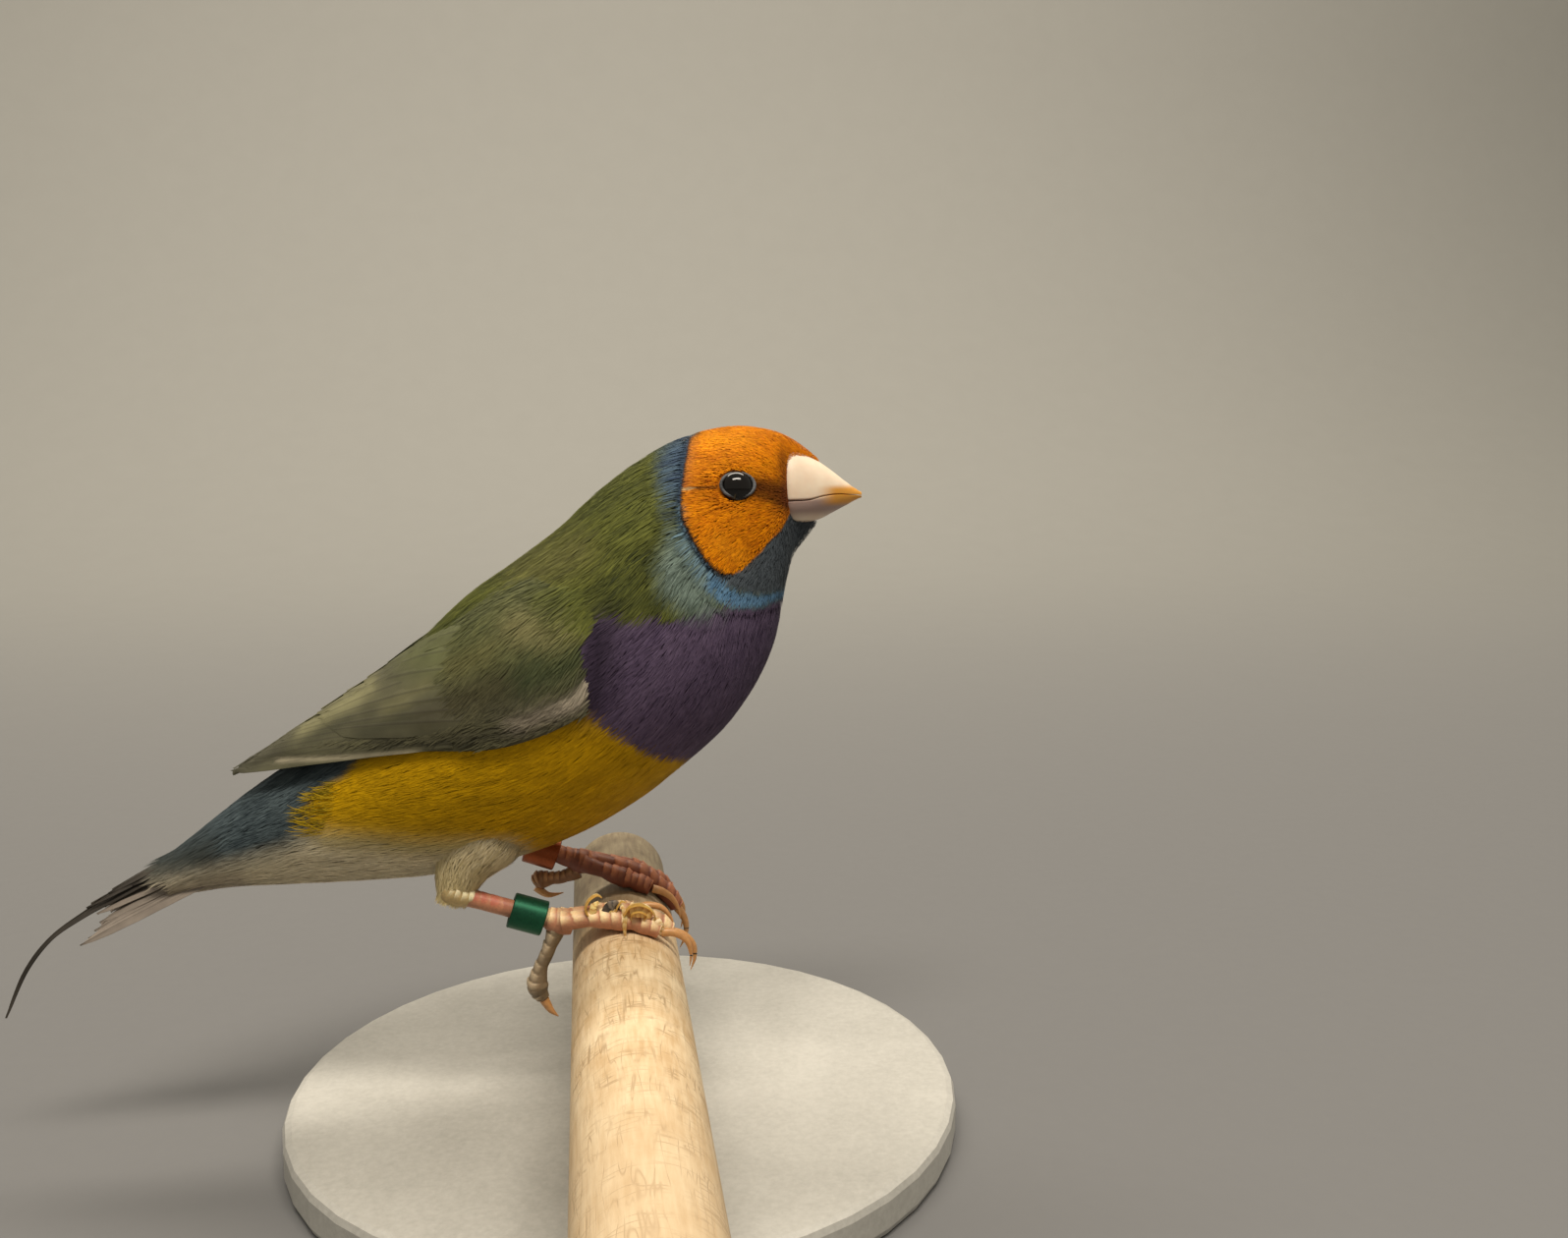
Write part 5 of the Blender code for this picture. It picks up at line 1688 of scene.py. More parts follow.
@dataclass(frozen=True)
class BillFinish:
    """Bill horn: ivory keratin, waxy and a little see-through, orange along the cutting edges and the tip; the lower
    half is darker below the mouth line, partly its own mauve and partly painted shade under the upper half, and pales
    at its lower edge as a painted highlight.
    """

    ivory: str = "F3E4CC"
    rose: str = "DFC3AA"
    # lower: the lower half's mauve, which also serves as painted shade under the upper half
    lower: str = "9A807A"
    orange: str = "D9983A"
    # the sizes of its patterns, in millimetres
    cloud: float = 2.381
    grain: float = 0.3846

    def material(self) -> Material:
        """Makes the material.

        Returns:
            The material.
        """
        material, tree, shader, where = begun("bill_keratin")
        axes = add(tree, "SeparateXYZ", {0: where})
        cloud = add(tree, "TexNoise", {"Vector": where, "Scale": 1 / (self.cloud * MM), "Detail": 3.0})
        grain = add(tree, "TexNoise", {"Vector": where, "Scale": 1 / (self.grain * MM), "Detail": 3.0})
        base = add(tree, "Mix", {0: cloud, 6: linear(self.ivory), 7: linear(self.rose)}, data_type="RGBA")
        tip = add(
            tree, "MapRange", {"Value": axes.outputs["X"], "From Min": 0.0272, "From Max": 0.0305},
            interpolation_type="SMOOTHSTEP"
        )
        line = (PERCH_TOP + 58.9) * MM
        off = add(tree, "Math", {0: axes.outputs["Z"], 1: line}, operation="SUBTRACT")
        far = add(tree, "Math", {0: off}, operation="ABSOLUTE")
        near = add(
            tree, "MapRange", {"Value": far, "From Min": 0.0017, "From Max": 0.0008}, interpolation_type="SMOOTHSTEP"
        )
        edge = add(tree, "Math", {0: tip, 1: near}, operation="MULTIPLY")
        # painted shade and highlight: the lower half darkens just below the mouth line, partly its own mauve and partly
        # shade under the upper half, and pales again towards its lower edge as a painted highlight
        under = add(
            tree, "MapRange", {"Value": off, "From Min": 0.0001, "From Max": -0.0008, "To Max": 0.92},
            interpolation_type="SMOOTHSTEP"
        )
        rim = add(
            tree, "MapRange", {"Value": off, "From Min": -0.0034, "From Max": -0.0018, "To Min": 0.2, "To Max": 1.0},
            interpolation_type="SMOOTHSTEP"
        )
        mauve_and_shade = add(tree, "Math", {0: under, 1: rim}, operation="MULTIPLY")
        whole = add(tree, "Mix", {0: mauve_and_shade, 6: base, 7: linear(self.lower)}, data_type="RGBA")
        mixed = add(tree, "Mix", {0: edge, 6: whole, 7: linear(self.orange)}, data_type="RGBA")
        rough = add(tree, "MapRange", {"Value": grain, "To Min": 0.38, "To Max": 0.52})
        bump = add(tree, "Bump", {"Height": grain, "Strength": 0.15, "Distance": 0.00005})
        feed(
            shader,
            {
                "Base Color": mixed, "Roughness": rough, "Normal": bump, "Subsurface Weight": 0.15,
                "Subsurface Radius": (0.0012, 0.0009, 0.0007), "Subsurface Scale": 1.0
            }
        )
        return material


MANTLE_GREEN = Markings(BODY_MARKINGS.ground, ())
WING_MARKINGS = Markings(
    ground=("69664B", "35352B"),
    fields=(
        Field(
            Tract.MANTLE, ((-2, 47), (-12, 52), (-24, 46), (-32, 38), (-24, 35), (-14, 36), (-3, 36)), 7.0, "6C6E46",
            "3A3F28"
        ),
    ),
    strokes=(
        Stroke((-5.2, 33.6), (-14.0, 30.5), 1.3, "958B7C", 0.75),
        Stroke((-4.9, 34.2), (-7.6, 33.0), 0.8, "B9AE9C", 0.6), Stroke((-4.6, 43.4), (-7.6, 42.4), 1.6, "A59E74", 0.75),
        Stroke((-7.0, 41.6), (-13.0, 42.2), 2.4, "8A8358", 0.6),
        Stroke((-33.5, 33.8), (-42.5, 28.2), 1.2, "8F8B64", 0.55),
        Stroke((-25.0, 35.3), (-30.5, 31.9), 1.1, "77734E", 0.4),
        Stroke((-36.0, 30.4), (-42.0, 27.0), 0.8, "26281E", 0.5),
        Stroke((-28.5, 31.2), (-34.0, 28.6), 1.0, "26281E", 0.4),
        Stroke((-6.0, 38.6), (-12.0, 36.4), 2.4, "364229", 0.6),
        Stroke((-16.0, 35.4), (-25.0, 31.6), 1.9, "36301E", 0.5),
        Stroke((-17.0, 39.2), (-21.5, 37.2), 1.6, "726C42", 0.4),
        Stroke((-14.0, 29.4), (-32.0, 28.0), 0.9, "36332A", 0.4),
        Stroke((-27.0, 26.9), (-46.0, 24.3), 0.3, "B8AE94", 0.6),
        Stroke((-46.0, 25.4), (-53.0, 21.8), 1.0, "37352E", 0.5)
    )
)


@dataclass(frozen=True)
class WingForm:
    """The folded wing on its shell, between its upper and its lower edge, both from front to tip.

    Rows of quills hold a count, roots and tips as (x, z) seen from the side, and forms as half width, lift off
    the wing and rise of the middle, each at the row's first and last feather.
    """

    upper: tuple[Spot, ...] = (
        (-8.0, 46.5), (-13.0, 47.9), (-20.0, 44.9), (-27.0, 39.2), (-33.8, 33.9), (-40.4, 29.4), (-46.8, 25.3),
        (-52.9, 21.7)
    )
    lower: tuple[Spot, ...] = (
        (-4.9, 31.6), (-10.7, 29.0), (-17.2, 27.3), (-25.6, 26.9), (-33.5, 25.7), (-40.0, 25.1), (-46.5, 24.2),
        (-52.9, 21.4)
    )
    bulge: float = 1.0
    front: float = 0.2
    swell: float = 0.85
    edge: float = 0.15
    covert_roots: int = 11500
    covert: Lie = Lie(0.17, 4.2, 0, root=-0.35, tip=0.14, ridge=0.06, stray=0.05, tips=0.025, vary=0.12, lock=0.14)
    rows: tuple[tuple[int, tuple, tuple, tuple], ...] = (
        (8, ((-22.0, 28.0), (-27.0, 33.0)), ((-53.0, 21.7), (-46.0, 26.4)), ((1.0, 0.05, 0.9), (1.9, 0.3, 0.4))),
        (6, ((-19.5, 31.0), (-24.0, 38.0)), ((-37.5, 28.3), (-41.0, 29.3)), ((1.8, 0.3, 0.3), (2.0, 0.42, 0.3))),
        (3, ((-22.0, 37.0), (-21.0, 41.5)), ((-37.5, 31.8), (-32.0, 35.6)), ((2.5, 0.42, 0.5), (2.2, 0.5, 0.4)))
    )

    def spots(self, along: Array, across: Array) -> tuple[Array, Array]:
        """Side view places on the wing.

        Args:
            along: shares of the way from front to tip.
            across: shares of the way from the upper to the lower edge.

        Returns:
            x and z.
        """
        inner = np.clip(along, 0, 1)
        top = smooth(np.array(self.upper), inner * (len(self.upper) - 1))
        low = smooth(np.array(self.lower), inner * (len(self.lower) - 1))
        spot = top + (low - top) * across[:, None]
        x = spot[:, 0] + self.bulge * np.sin(np.pi * np.clip(across, 0, 1)) * np.maximum(1 - inner / self.front, 0) ** 2
        return x + (inner - along) * 45, spot[:, 1]

    def lift(self, along: Array, across: Array) -> Array:
        """Shapes the wing's surface.

        Args:
            along: shares of the way from front to tip.
            across: shares of the way from the upper to the lower edge.

        Returns:
            How high the wing stands off its shell.
        """
        inner, side = np.clip(along, 0, 1), np.clip(across, 0, 1)
        front, top, rear = (np.clip(share, 0, 1) for share in (inner / 0.1, side / 0.14, (inner - 0.35) / 0.3))
        free = eased(front) * (1 - (1 - eased(top)) * (1 - rear))
        ahead = np.minimum(inner / self.front, 1)
        rise = ahead * (2 - ahead) * (1 - 0.7 * inner)
        return -0.42 * (1 - free) + free * (self.edge + self.swell * rise * (1 - np.abs(2 * side - 1) ** 3))

    def lift_at(self, x: Array, z: Array) -> Array:
        """Reads the wing's surface at side view places.

        Args:
            x: places along the bird.
            z: heights.

        Returns:
            How high the wing stands off its shell.
        """
        along, across = (grid.ravel() for grid in np.meshgrid(np.linspace(0, 1, 90), np.linspace(0, 1, 24)))
        grid_x, grid_z = self.spots(along, across)
        nearest = [
            np.argmin((x[i : i + 1000, None] - grid_x) ** 2 + (z[i : i + 1000, None] - grid_z) ** 2, axis=1)
            for i in range(0, len(x), 1000)
        ]
        nearest = np.concatenate(nearest)
        return self.lift(along[nearest], across[nearest])

    def covered(self, x: Array, y: Array, z: Array) -> Array:
        """Which points of the body lie well under the folded wing."""
        inner = (*self.upper[:-1], (-44, 26.2), *self.lower[-3::-1])
        return (signed_distance(x, z, inner) > 2.4) & (np.abs(y) > 3)

    def arm(self, sign: int) -> Shape:
        """Makes the plain down under the coverts and the quills, a thin pillow on the shell.

        Args:
            sign: 1 for the right wing and -1 for the left.

        Returns:
            Its shape in metres.
        """
        shape = bmesh.new()
        bmesh.ops.create_grid(shape, x_segments=70, y_segments=20, size=0.5)
        at = np.array([v.co[:] for v in shape.verts]) + 0.5
        along, across = at[:, 0] * 0.985, at[:, 1]
        place, turn = WING_SHELL.places(*self.spots(along, across))
        points = WING_SHELL.points(place, turn, self.lift(along, across) - 0.12)
        points[:, 1] *= sign
        for vertex, spot in zip(shape.verts, Place.row(points)):
            vertex.co = spot
        shape.normal_update()
        shape.faces.ensure_lookup_table()
        if shape.faces[len(shape.faces) // 2].normal.y * sign > 0:
            bmesh.ops.reverse_faces(shape, faces=shape.faces)
        bmesh.ops.solidify(shape, geom=list(shape.faces), thickness=0.35 * MM)
        return shape

    def build(self) -> None:
        """Makes both wings."""
        rng = np.random.default_rng(SEED + 5)
        down = FeatherFinish("wing_down", roughness=0.75).material()
        covert = FeatherFinish("wing_coverts", mottle=5.0, depth=0.14).material()
        quill = VaneFinish("wing_quills").material()
        for side, sign in SIDES:
            arm = finished(self.arm(sign), "wing_arm_" + side, down, ("wing_" + side,), 60)
            paint(arm, WING_MARKINGS, 0.35)
            paint(self.quills(side, sign, quill), WING_MARKINGS, 0.5)
            self.coverts(side, sign, covert, rng)

    def quills(self, side: str, sign: int, material: Material) -> bpy.types.Object:
        """Makes the flight feathers of one wing, as one joined piece.

        Args:
            side: the wing's name.
            sign: 1 for the right wing and -1 for the left.
            material: the feathers' material.

        Returns:
            The piece.
        """
        whole = bmesh.new()
        for count, roots, tips, forms in self.rows:
            for i in range(count):
                share = i / (count - 1)
                root, tip, form = (tuple(a + (b - a) * share for a, b in zip(*pair)) for pair in (roots, tips, forms))
                line = self.quill_line(root, tip, form[1], form[2])
                Vane(form[0], 0.06, camber=0.03, shaft=0.05).grow(whole, line, sign)
        return finished(whole, "wing_quills_" + side, material, (), 60)

    def quill_line(self, root: Spot, tip: Spot, high: float, bow: float) -> Laid:
        """How a quill lies on the wing.

        Args:
            root: its root's (x, z).
            tip: its tip's (x, z).
            high: its lift off the wing.
            bow: the rise of its middle.

        Returns:
            A function of shares of its length and offsets from its shaft that gives points and normals.
        """

        def centre(s: Array) -> tuple[Array, Array]:
            """Side view places on its shaft."""
            x = root[0] + (tip[0] - root[0]) * s
            return x, root[1] + (tip[1] - root[1]) * s + bow * 4 * s * (1 - s)

        def lay(share: Array, offset: Array) -> tuple[Array, Array]:
            """Points and normals of the quill on the wing's surface."""
            place, turn = WING_SHELL.places(*centre(share))
            ahead = WING_SHELL.points(*WING_SHELL.places(*centre(share + 0.02)))
            behind = WING_SHELL.points(*WING_SHELL.places(*centre(share - 0.02)))
            out = WING_SHELL.slopes(place, turn)[2]
            step_place, step_turn = WING_SHELL.steps(place, turn, unit(np.cross(out, unit(ahead - behind))))
            place, turn = place + step_place * offset, np.maximum(turn + step_turn * offset, 0.02)
            flat = WING_SHELL.points(place, turn)
            lift = self.lift_at(flat[:, 0], flat[:, 2]) + high * np.minimum(share * 3, 1)
            return WING_SHELL.points(place, turn, lift), WING_SHELL.slopes(place, turn)[2]

        return lay

    def coverts(self, side: str, sign: int, material: Material, rng: np.random.Generator) -> None:
        """Makes the soft coverts over the front of one wing, as a piece of the coat.

        Args:
            side: the wing's name.
            sign: 1 for the right wing and -1 for the left.
            material: the coverts' material.
            rng: random source.
        """
        count = self.covert_roots
        along = rng.uniform(-0.1, 0.8, count)
        across = rng.uniform(-0.14, 0.97, count)
        high = np.clip((0.36 - across) / 0.2, 0, 1)
        keep = (rng.uniform(0, 1, count) < np.clip((0.82 - along) / 0.42, 0, 1)) & (along > -0.02 - 0.08 * high)
        keep &= across < 0.88 - 0.5 * np.clip((along - 0.45) / 0.3, 0, 1) + 0.1 * (along < 0.32)
        along, across, high = along[keep], across[keep], high[keep]
        x, z = self.spots(along, across)
        place, turn = WING_SHELL.places(x, z)
        heading = WING_FLOW.heading(WING_SHELL.points(place, turn))
        stretch = np.clip((1.06 - across) / 0.3, 0.5, 1)
        reach = self.covert.length * stretch
        ground = self.lift_at(x, z), self.lift_at(x + heading[:, 0] * reach, z + heading[:, 2] * reach)
        verts, middle, vary = Coat.tufts(WING_SHELL, place, turn, heading, self.covert, rng, stretch, ground)
        green = (np.clip((0.08 - along) / 0.14, 0, 1) * high)[:, None]
        colours = WING_MARKINGS.read(middle[:, 0], middle[:, 2], vary)
        colours = colours * (1 - green) + MANTLE_GREEN.read(middle[:, 0], middle[:, 2], vary) * green
        spots = np.stack([(along + 0.1) / 0.9, (across + 0.14) / 1.11], 1)
        if sign < 0:
            verts[:, :, 1] *= -1
        mesh = Coat.mesh("coat_wing_" + side, verts, colours, spots)
        if sign < 0:
            mesh.flip_normals()
        listed(mesh, mesh.name, material)


@dataclass(frozen=True)
class Vane:
    """A flight or tail feather: two thin webs on a raised shaft."""

    half_width: float
    thickness: float
    outline: tuple[Spot, ...] = ((0.0, 0.55), (0.2, 0.85), (0.5, 1.0), (0.8, 0.86), (0.93, 0.6), (1.0, 0.12))
    rings: int = 26
    strips: int = 8
    camber: float = 0.12
    shaft: float = 0.08

    def grow(self, whole: Shape, lay: Laid, sign: int = 1) -> None:
        """Adds the feather to a larger shape.

        Args:
            whole: the shape in metres that it joins.
            lay: gives points and normals for shares of its length and offsets from its shaft.
            sign: -1 for the bird's other side.
        """
        shape = bmesh.new()
        bmesh.ops.create_grid(shape, x_segments=self.rings, y_segments=self.strips, size=0.5)
        at = np.array([v.co[:] for v in shape.verts]) + 0.5
        share, side = at[:, 0], at[:, 1] * 2 - 1
        width = np.interp(share, *zip(*self.outline)) * self.half_width
        spots, out = lay(share, side * width)
        rise = -self.camber * side**2 * self.half_width + self.shaft * np.exp(-((side / 0.12) ** 2))
        points = spots + out * rise[:, None]
        points[:, 1] *= sign
        layer = shape.loops.layers.uv.new("barbs")
        for vertex, spot in zip(shape.verts, Place.row(points)):
            vertex.co = spot
        index = {vertex: i for i, vertex in enumerate(shape.verts)}
        for face in shape.faces:
            for loop in face.loops:
                loop[layer].uv = at[index[loop.vert], :2]
        shape.normal_update()
        shape.faces.ensure_lookup_table()
        middle = shape.faces[len(shape.faces) // 2]
        if middle.normal.dot(Vector(out[len(out) // 2]) * Vector((1, sign, 1))) < 0:
            bmesh.ops.reverse_faces(shape, faces=shape.faces)
        bmesh.ops.solidify(shape, geom=list(shape.faces), thickness=self.thickness * MM)
        join(whole, shape)


@dataclass(frozen=True)
class VaneFinish:
    """Flight and tail feathers: smooth webs of parallel barbs with a faint gloss and a dark shaft."""

    name: str
    barbs: float = 90.0
    shaft_dark: float = 0.3
    roughness: float = 0.6
    # the sizes of its patterns, in millimetres
    patch: float = 3.846

    def material(self) -> Material:
        """Makes the material.

        Returns:
            The material.
        """
        material, tree, shader, where = begun(self.name)
        map_uv = add(tree, "UVMap", uv_map="barbs")
        axes = add(tree, "SeparateXYZ", {0: map_uv})
        half = add(tree, "Math", {0: axes.outputs["Y"], 1: 0.5}, operation="SUBTRACT")
        off = add(tree, "Math", {0: half}, operation="ABSOLUTE")
        lean = add(tree, "Math", {0: off, 1: -0.22, 2: axes.outputs["X"]}, operation="MULTIPLY_ADD")
        phase = add(tree, "Math", {0: lean, 1: self.barbs * math.tau}, operation="MULTIPLY")
        lines = add(tree, "Math", {0: phase}, operation="SINE")
        tone = add(tree, "MapRange", {"Value": lines, "From Min": -1.0, "To Min": 0.94, "To Max": 1.05})
        patches = add(tree, "TexNoise", {"Vector": where, "Scale": 1 / (self.patch * MM), "Detail": 3.0})
        cloud = add(
            tree, "MapRange", {"Value": patches, "From Min": 0.3, "From Max": 0.7, "To Min": 0.82, "To Max": 1.18}
        )
        both = add(tree, "Math", {0: tone, 1: cloud}, operation="MULTIPLY")
        colour = add(tree, "Attribute", attribute_name="plumage")
        toned = add(tree, "HueSaturation", {"Value": both, "Color": colour})
        shaft = add(
            tree, "MapRange",
            {"Value": off, "From Min": 0.03, "From Max": 0.06, "To Min": self.shaft_dark, "To Max": 0.0},
            interpolation_type="SMOOTHSTEP"
        )
        mixed = add(tree, "Mix", {0: shaft, 6: toned, 7: linear("2A241C")}, data_type="RGBA")
        rough = add(
            tree, "MapRange", {"Value": patches, "To Min": self.roughness - 0.08, "To Max": self.roughness + 0.08}
        )
        bump = add(tree, "Bump", {"Height": lines, "Strength": 0.3, "Distance": 0.00004})
        feed(shader, {"Base Color": mixed, "Roughness": rough, "Normal": bump, "Specular IOR Level": 0.25})
        return material


FAN_MARKINGS = Markings(("A0958A", "665D54"), ())
TAIL_MARKINGS = Markings(("6E675C", "4A453E"), (), (Stroke((-67.0, 6.0), (-86.0, -8.0), 4.5, "2C2824", 0.85),))


@dataclass(frozen=True)
class TailForm:
    """The tail: two middle feathers drawn out into threads, a shorter pair over them, and the side feathers."""

    thread: tuple[Spot, ...] = (
        (-56.5, 11.7), (-61.4, 9.4), (-65.0, 7.4), (-69.0, 5.1), (-73.5, 2.5), (-78.1, -0.8), (-81.7, -5.4),
        (-84.6, -11.9)
    )
    thread_outline: tuple[Spot, ...] = (
        (0.0, 1.3), (0.14, 1.4), (0.26, 1.4), (0.38, 1.2), (0.48, 0.95), (0.58, 0.72), (0.68, 0.55), (0.78, 0.45),
        (0.88, 0.34), (0.95, 0.24), (1.0, 0.08)
    )
    spread: Point = (1.0, 0.4, 0.1)
    lean: float = 24.0
    over: tuple[tuple[Point, Point, float], ...] = (
        ((-56.0, -0.9, 12.4), (-70.0, -0.8, 5.4), 0.8), ((-57.0, -1.5, 11.0), (-72.9, -0.9, 3.5), 0.6),
        ((-56.0, -1.7, 11.6), (-66.6, -1.6, 6.6), 0.75), ((-56.0, -2.2, 10.8), (-64.0, -2.3, 7.6), 0.7)
    )
    side_half: float = 1.05
    side_root: tuple[Point, ...] = ((-56.6, -1.4, 9.1), (0.0, -0.34, -0.52))
    side_tips: tuple[Point, ...] = (
        (-71.4, -1.5, 2.8), (-70.9, -2.2, 1.8), (-71.4, -2.9, 0.9), (-72.0, -3.5, 0.1), (-72.9, -4.1, -0.6)
    )
    side_lean: Spot = (24.0, 4.0)
    side_outline: tuple[Spot, ...] = ((0.0, 0.6), (0.3, 0.9), (0.55, 1.0), (0.78, 0.8), (0.92, 0.42), (1.0, 0.03))

    def build(self) -> None:
        """Makes the middle and the side feathers."""
        web = VaneFinish("tail_quills").material()
        middle = bmesh.new()
        for sign in (1, -1):
            Vane(1.0, 0.1, self.thread_outline, 70, 6, 0.1, 0.1).grow(middle, self.thread_line, sign)
            for root, tip, half in self.over:
                feather = Vane(half, 0.08, self.side_outline, 30, 8, 0.15, 0.1)
                feather.grow(middle, self.straight(root, tip, self.lean), sign)
        piece = finished(middle, "tail_middle_quills", web, ("tail_middle",), 60)
        paint(piece, TAIL_MARKINGS, 0.5)
        for side, sign in SIDES:
            fan = bmesh.new()
            for i, tip in enumerate(self.side_tips):
                root = tuple(np.array(self.side_root[0]) + i * np.array(self.side_root[1]))
                lean = self.side_lean[0] + i * self.side_lean[1]
                feather = Vane(self.side_half, 0.08, self.side_outline, 34, 8, 0.1, 0.12)
                feather.grow(fan, self.straight(root, tip, lean), sign)
            piece = finished(fan, f"tail_{side}_quills", web, ("tail_" + side,), 60)
            paint(piece, FAN_MARKINGS, 0.5)

    def thread_line(self, share: Array, offset: Array) -> tuple[Array, Array]:
        """Lays the right middle feather.

        Args:
            share: shares of its length.
            offset: offsets from its shaft.

        Returns:
            Points and normals.
        """
        last = len(self.thread) - 1
        flat = smooth(np.array(self.thread), share * last)
        square, even, left = self.spread
        lean = math.radians(self.lean)
        ahead = smooth(np.array(self.thread), np.minimum(share + 0.02, 1) * last)
        run = ahead - smooth(np.array(self.thread), np.maximum(share - 0.02, 0) * last)
        tangent = unit(np.stack([run[:, 0], np.zeros(len(share)), run[:, 1]], 1))
        normal = np.tile([0.0, -math.sin(lean), math.cos(lean)], (len(share), 1))
        normal = unit(normal - tangent * dots(normal, tangent)[:, None])
        y = -(square * (1 - share) ** 2 + even * (1 - share) + left)
        spot = np.stack([flat[:, 0], y, flat[:, 1]], 1)
        return spot + unit(np.cross(normal, tangent)) * offset[:, None], normal

    @staticmethod
    def straight(root: tuple[float, ...], tip: tuple[float, ...], lean: float) -> Laid:
        """How a straight tail feather lies.

        Args:
            root: its root.
            tip: its tip.
            lean: degrees that its outer web leans down.

        Returns:
            A function of shares of its length and offsets from its shaft that gives points and normals.
        """
        start, end, tilt = np.array(root), np.array(tip), math.radians(lean)
        tangent = unit(end - start)
        normal = np.array([0.0, -math.sin(tilt), math.cos(tilt)])
        normal = unit(normal - tangent * normal.dot(tangent))

        def lay(share: Array, offset: Array) -> tuple[Array, Array]:
            """Points and normals of the feather, a little bowed."""
            spot = start + (end - start) * share[:, None] + np.cross(normal, tangent) * offset[:, None]
            spot[:, 2] += 0.35 * 4 * share * (1 - share)
            return spot, np.tile(normal, (len(share), 1))

        return lay


@dataclass(frozen=True)
class PlainFinish:
    """A made surface: two tones in grain, with its own roughness and bump."""

    name: str
    pale: str
    dark: str
    grain: float
    stretch: Point = (1.0, 1.0, 1.0)
    roughness: float = 0.5
    metallic: float = 0.0
    bump: float = 0.3
    contrast: float = 0.3
    # the sizes of its patterns, in millimetres
    mottle: float = 16.667

    def material(self) -> Material:
        """Makes the material.

        Returns:
            The material.
        """
        material, tree, shader, where = begun(self.name)
        laid = add(tree, "Mapping", {"Vector": where, "Scale": self.stretch})
        grain = add(tree, "TexNoise", {"Vector": laid, "Scale": 1 / (self.grain * MM), "Detail": 5.0, "Roughness": 0.6})
        soft = add(tree, "TexNoise", {"Vector": where, "Scale": 1 / (self.mottle * MM), "Detail": 3.0})
        total = add(tree, "Math", {0: grain, 1: soft}, operation="ADD")
        share = add(tree, "MapRange", {"Value": total, "From Min": 1 - self.contrast, "From Max": 1 + self.contrast})
        mixed = add(tree, "Mix", {0: share, 6: linear(self.dark), 7: linear(self.pale)}, data_type="RGBA")
        rough = add(tree, "MapRange", {"Value": grain, "To Min": self.roughness - 0.1, "To Max": self.roughness + 0.1})
        bump = add(tree, "Bump", {"Height": grain, "Strength": self.bump, "Distance": 0.0001})
        feed(shader, {"Base Color": mixed, "Roughness": rough, "Normal": bump, "Metallic": self.metallic})
        return material


@dataclass(frozen=True)
class PerchForm:
    """The cut length of perch: a turned rod with eased ends."""

    sides: int = 128
    ease: float = 0.8

    def build(self) -> None:
        """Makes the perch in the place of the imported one."""
        low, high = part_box("perch")
        rod = bmesh.new()
        radius, length = (high.x - low.x) / 2, high.y - low.y
        bmesh.ops.create_cone(rod, cap_ends=True, segments=self.sides, radius1=radius, radius2=radius, depth=length)
        rims = [e for e in rod.edges if abs(e.verts[0].co.z - e.verts[1].co.z) < 1e-6]
        bmesh.ops.bevel(rod, geom=rims, offset=self.ease * MM, segments=4, profile=0.5, affect="EDGES", material=-1)
        bmesh.ops.rotate(rod, cent=(0, 0, 0), matrix=Matrix.Rotation(math.pi / 2, 3, "X"), verts=rod.verts)
        bmesh.ops.translate(rod, vec=(low + high) / 2, verts=rod.verts)
        finished(rod, "perch_rod", PerchFinish().material(), ("perch",), 30)


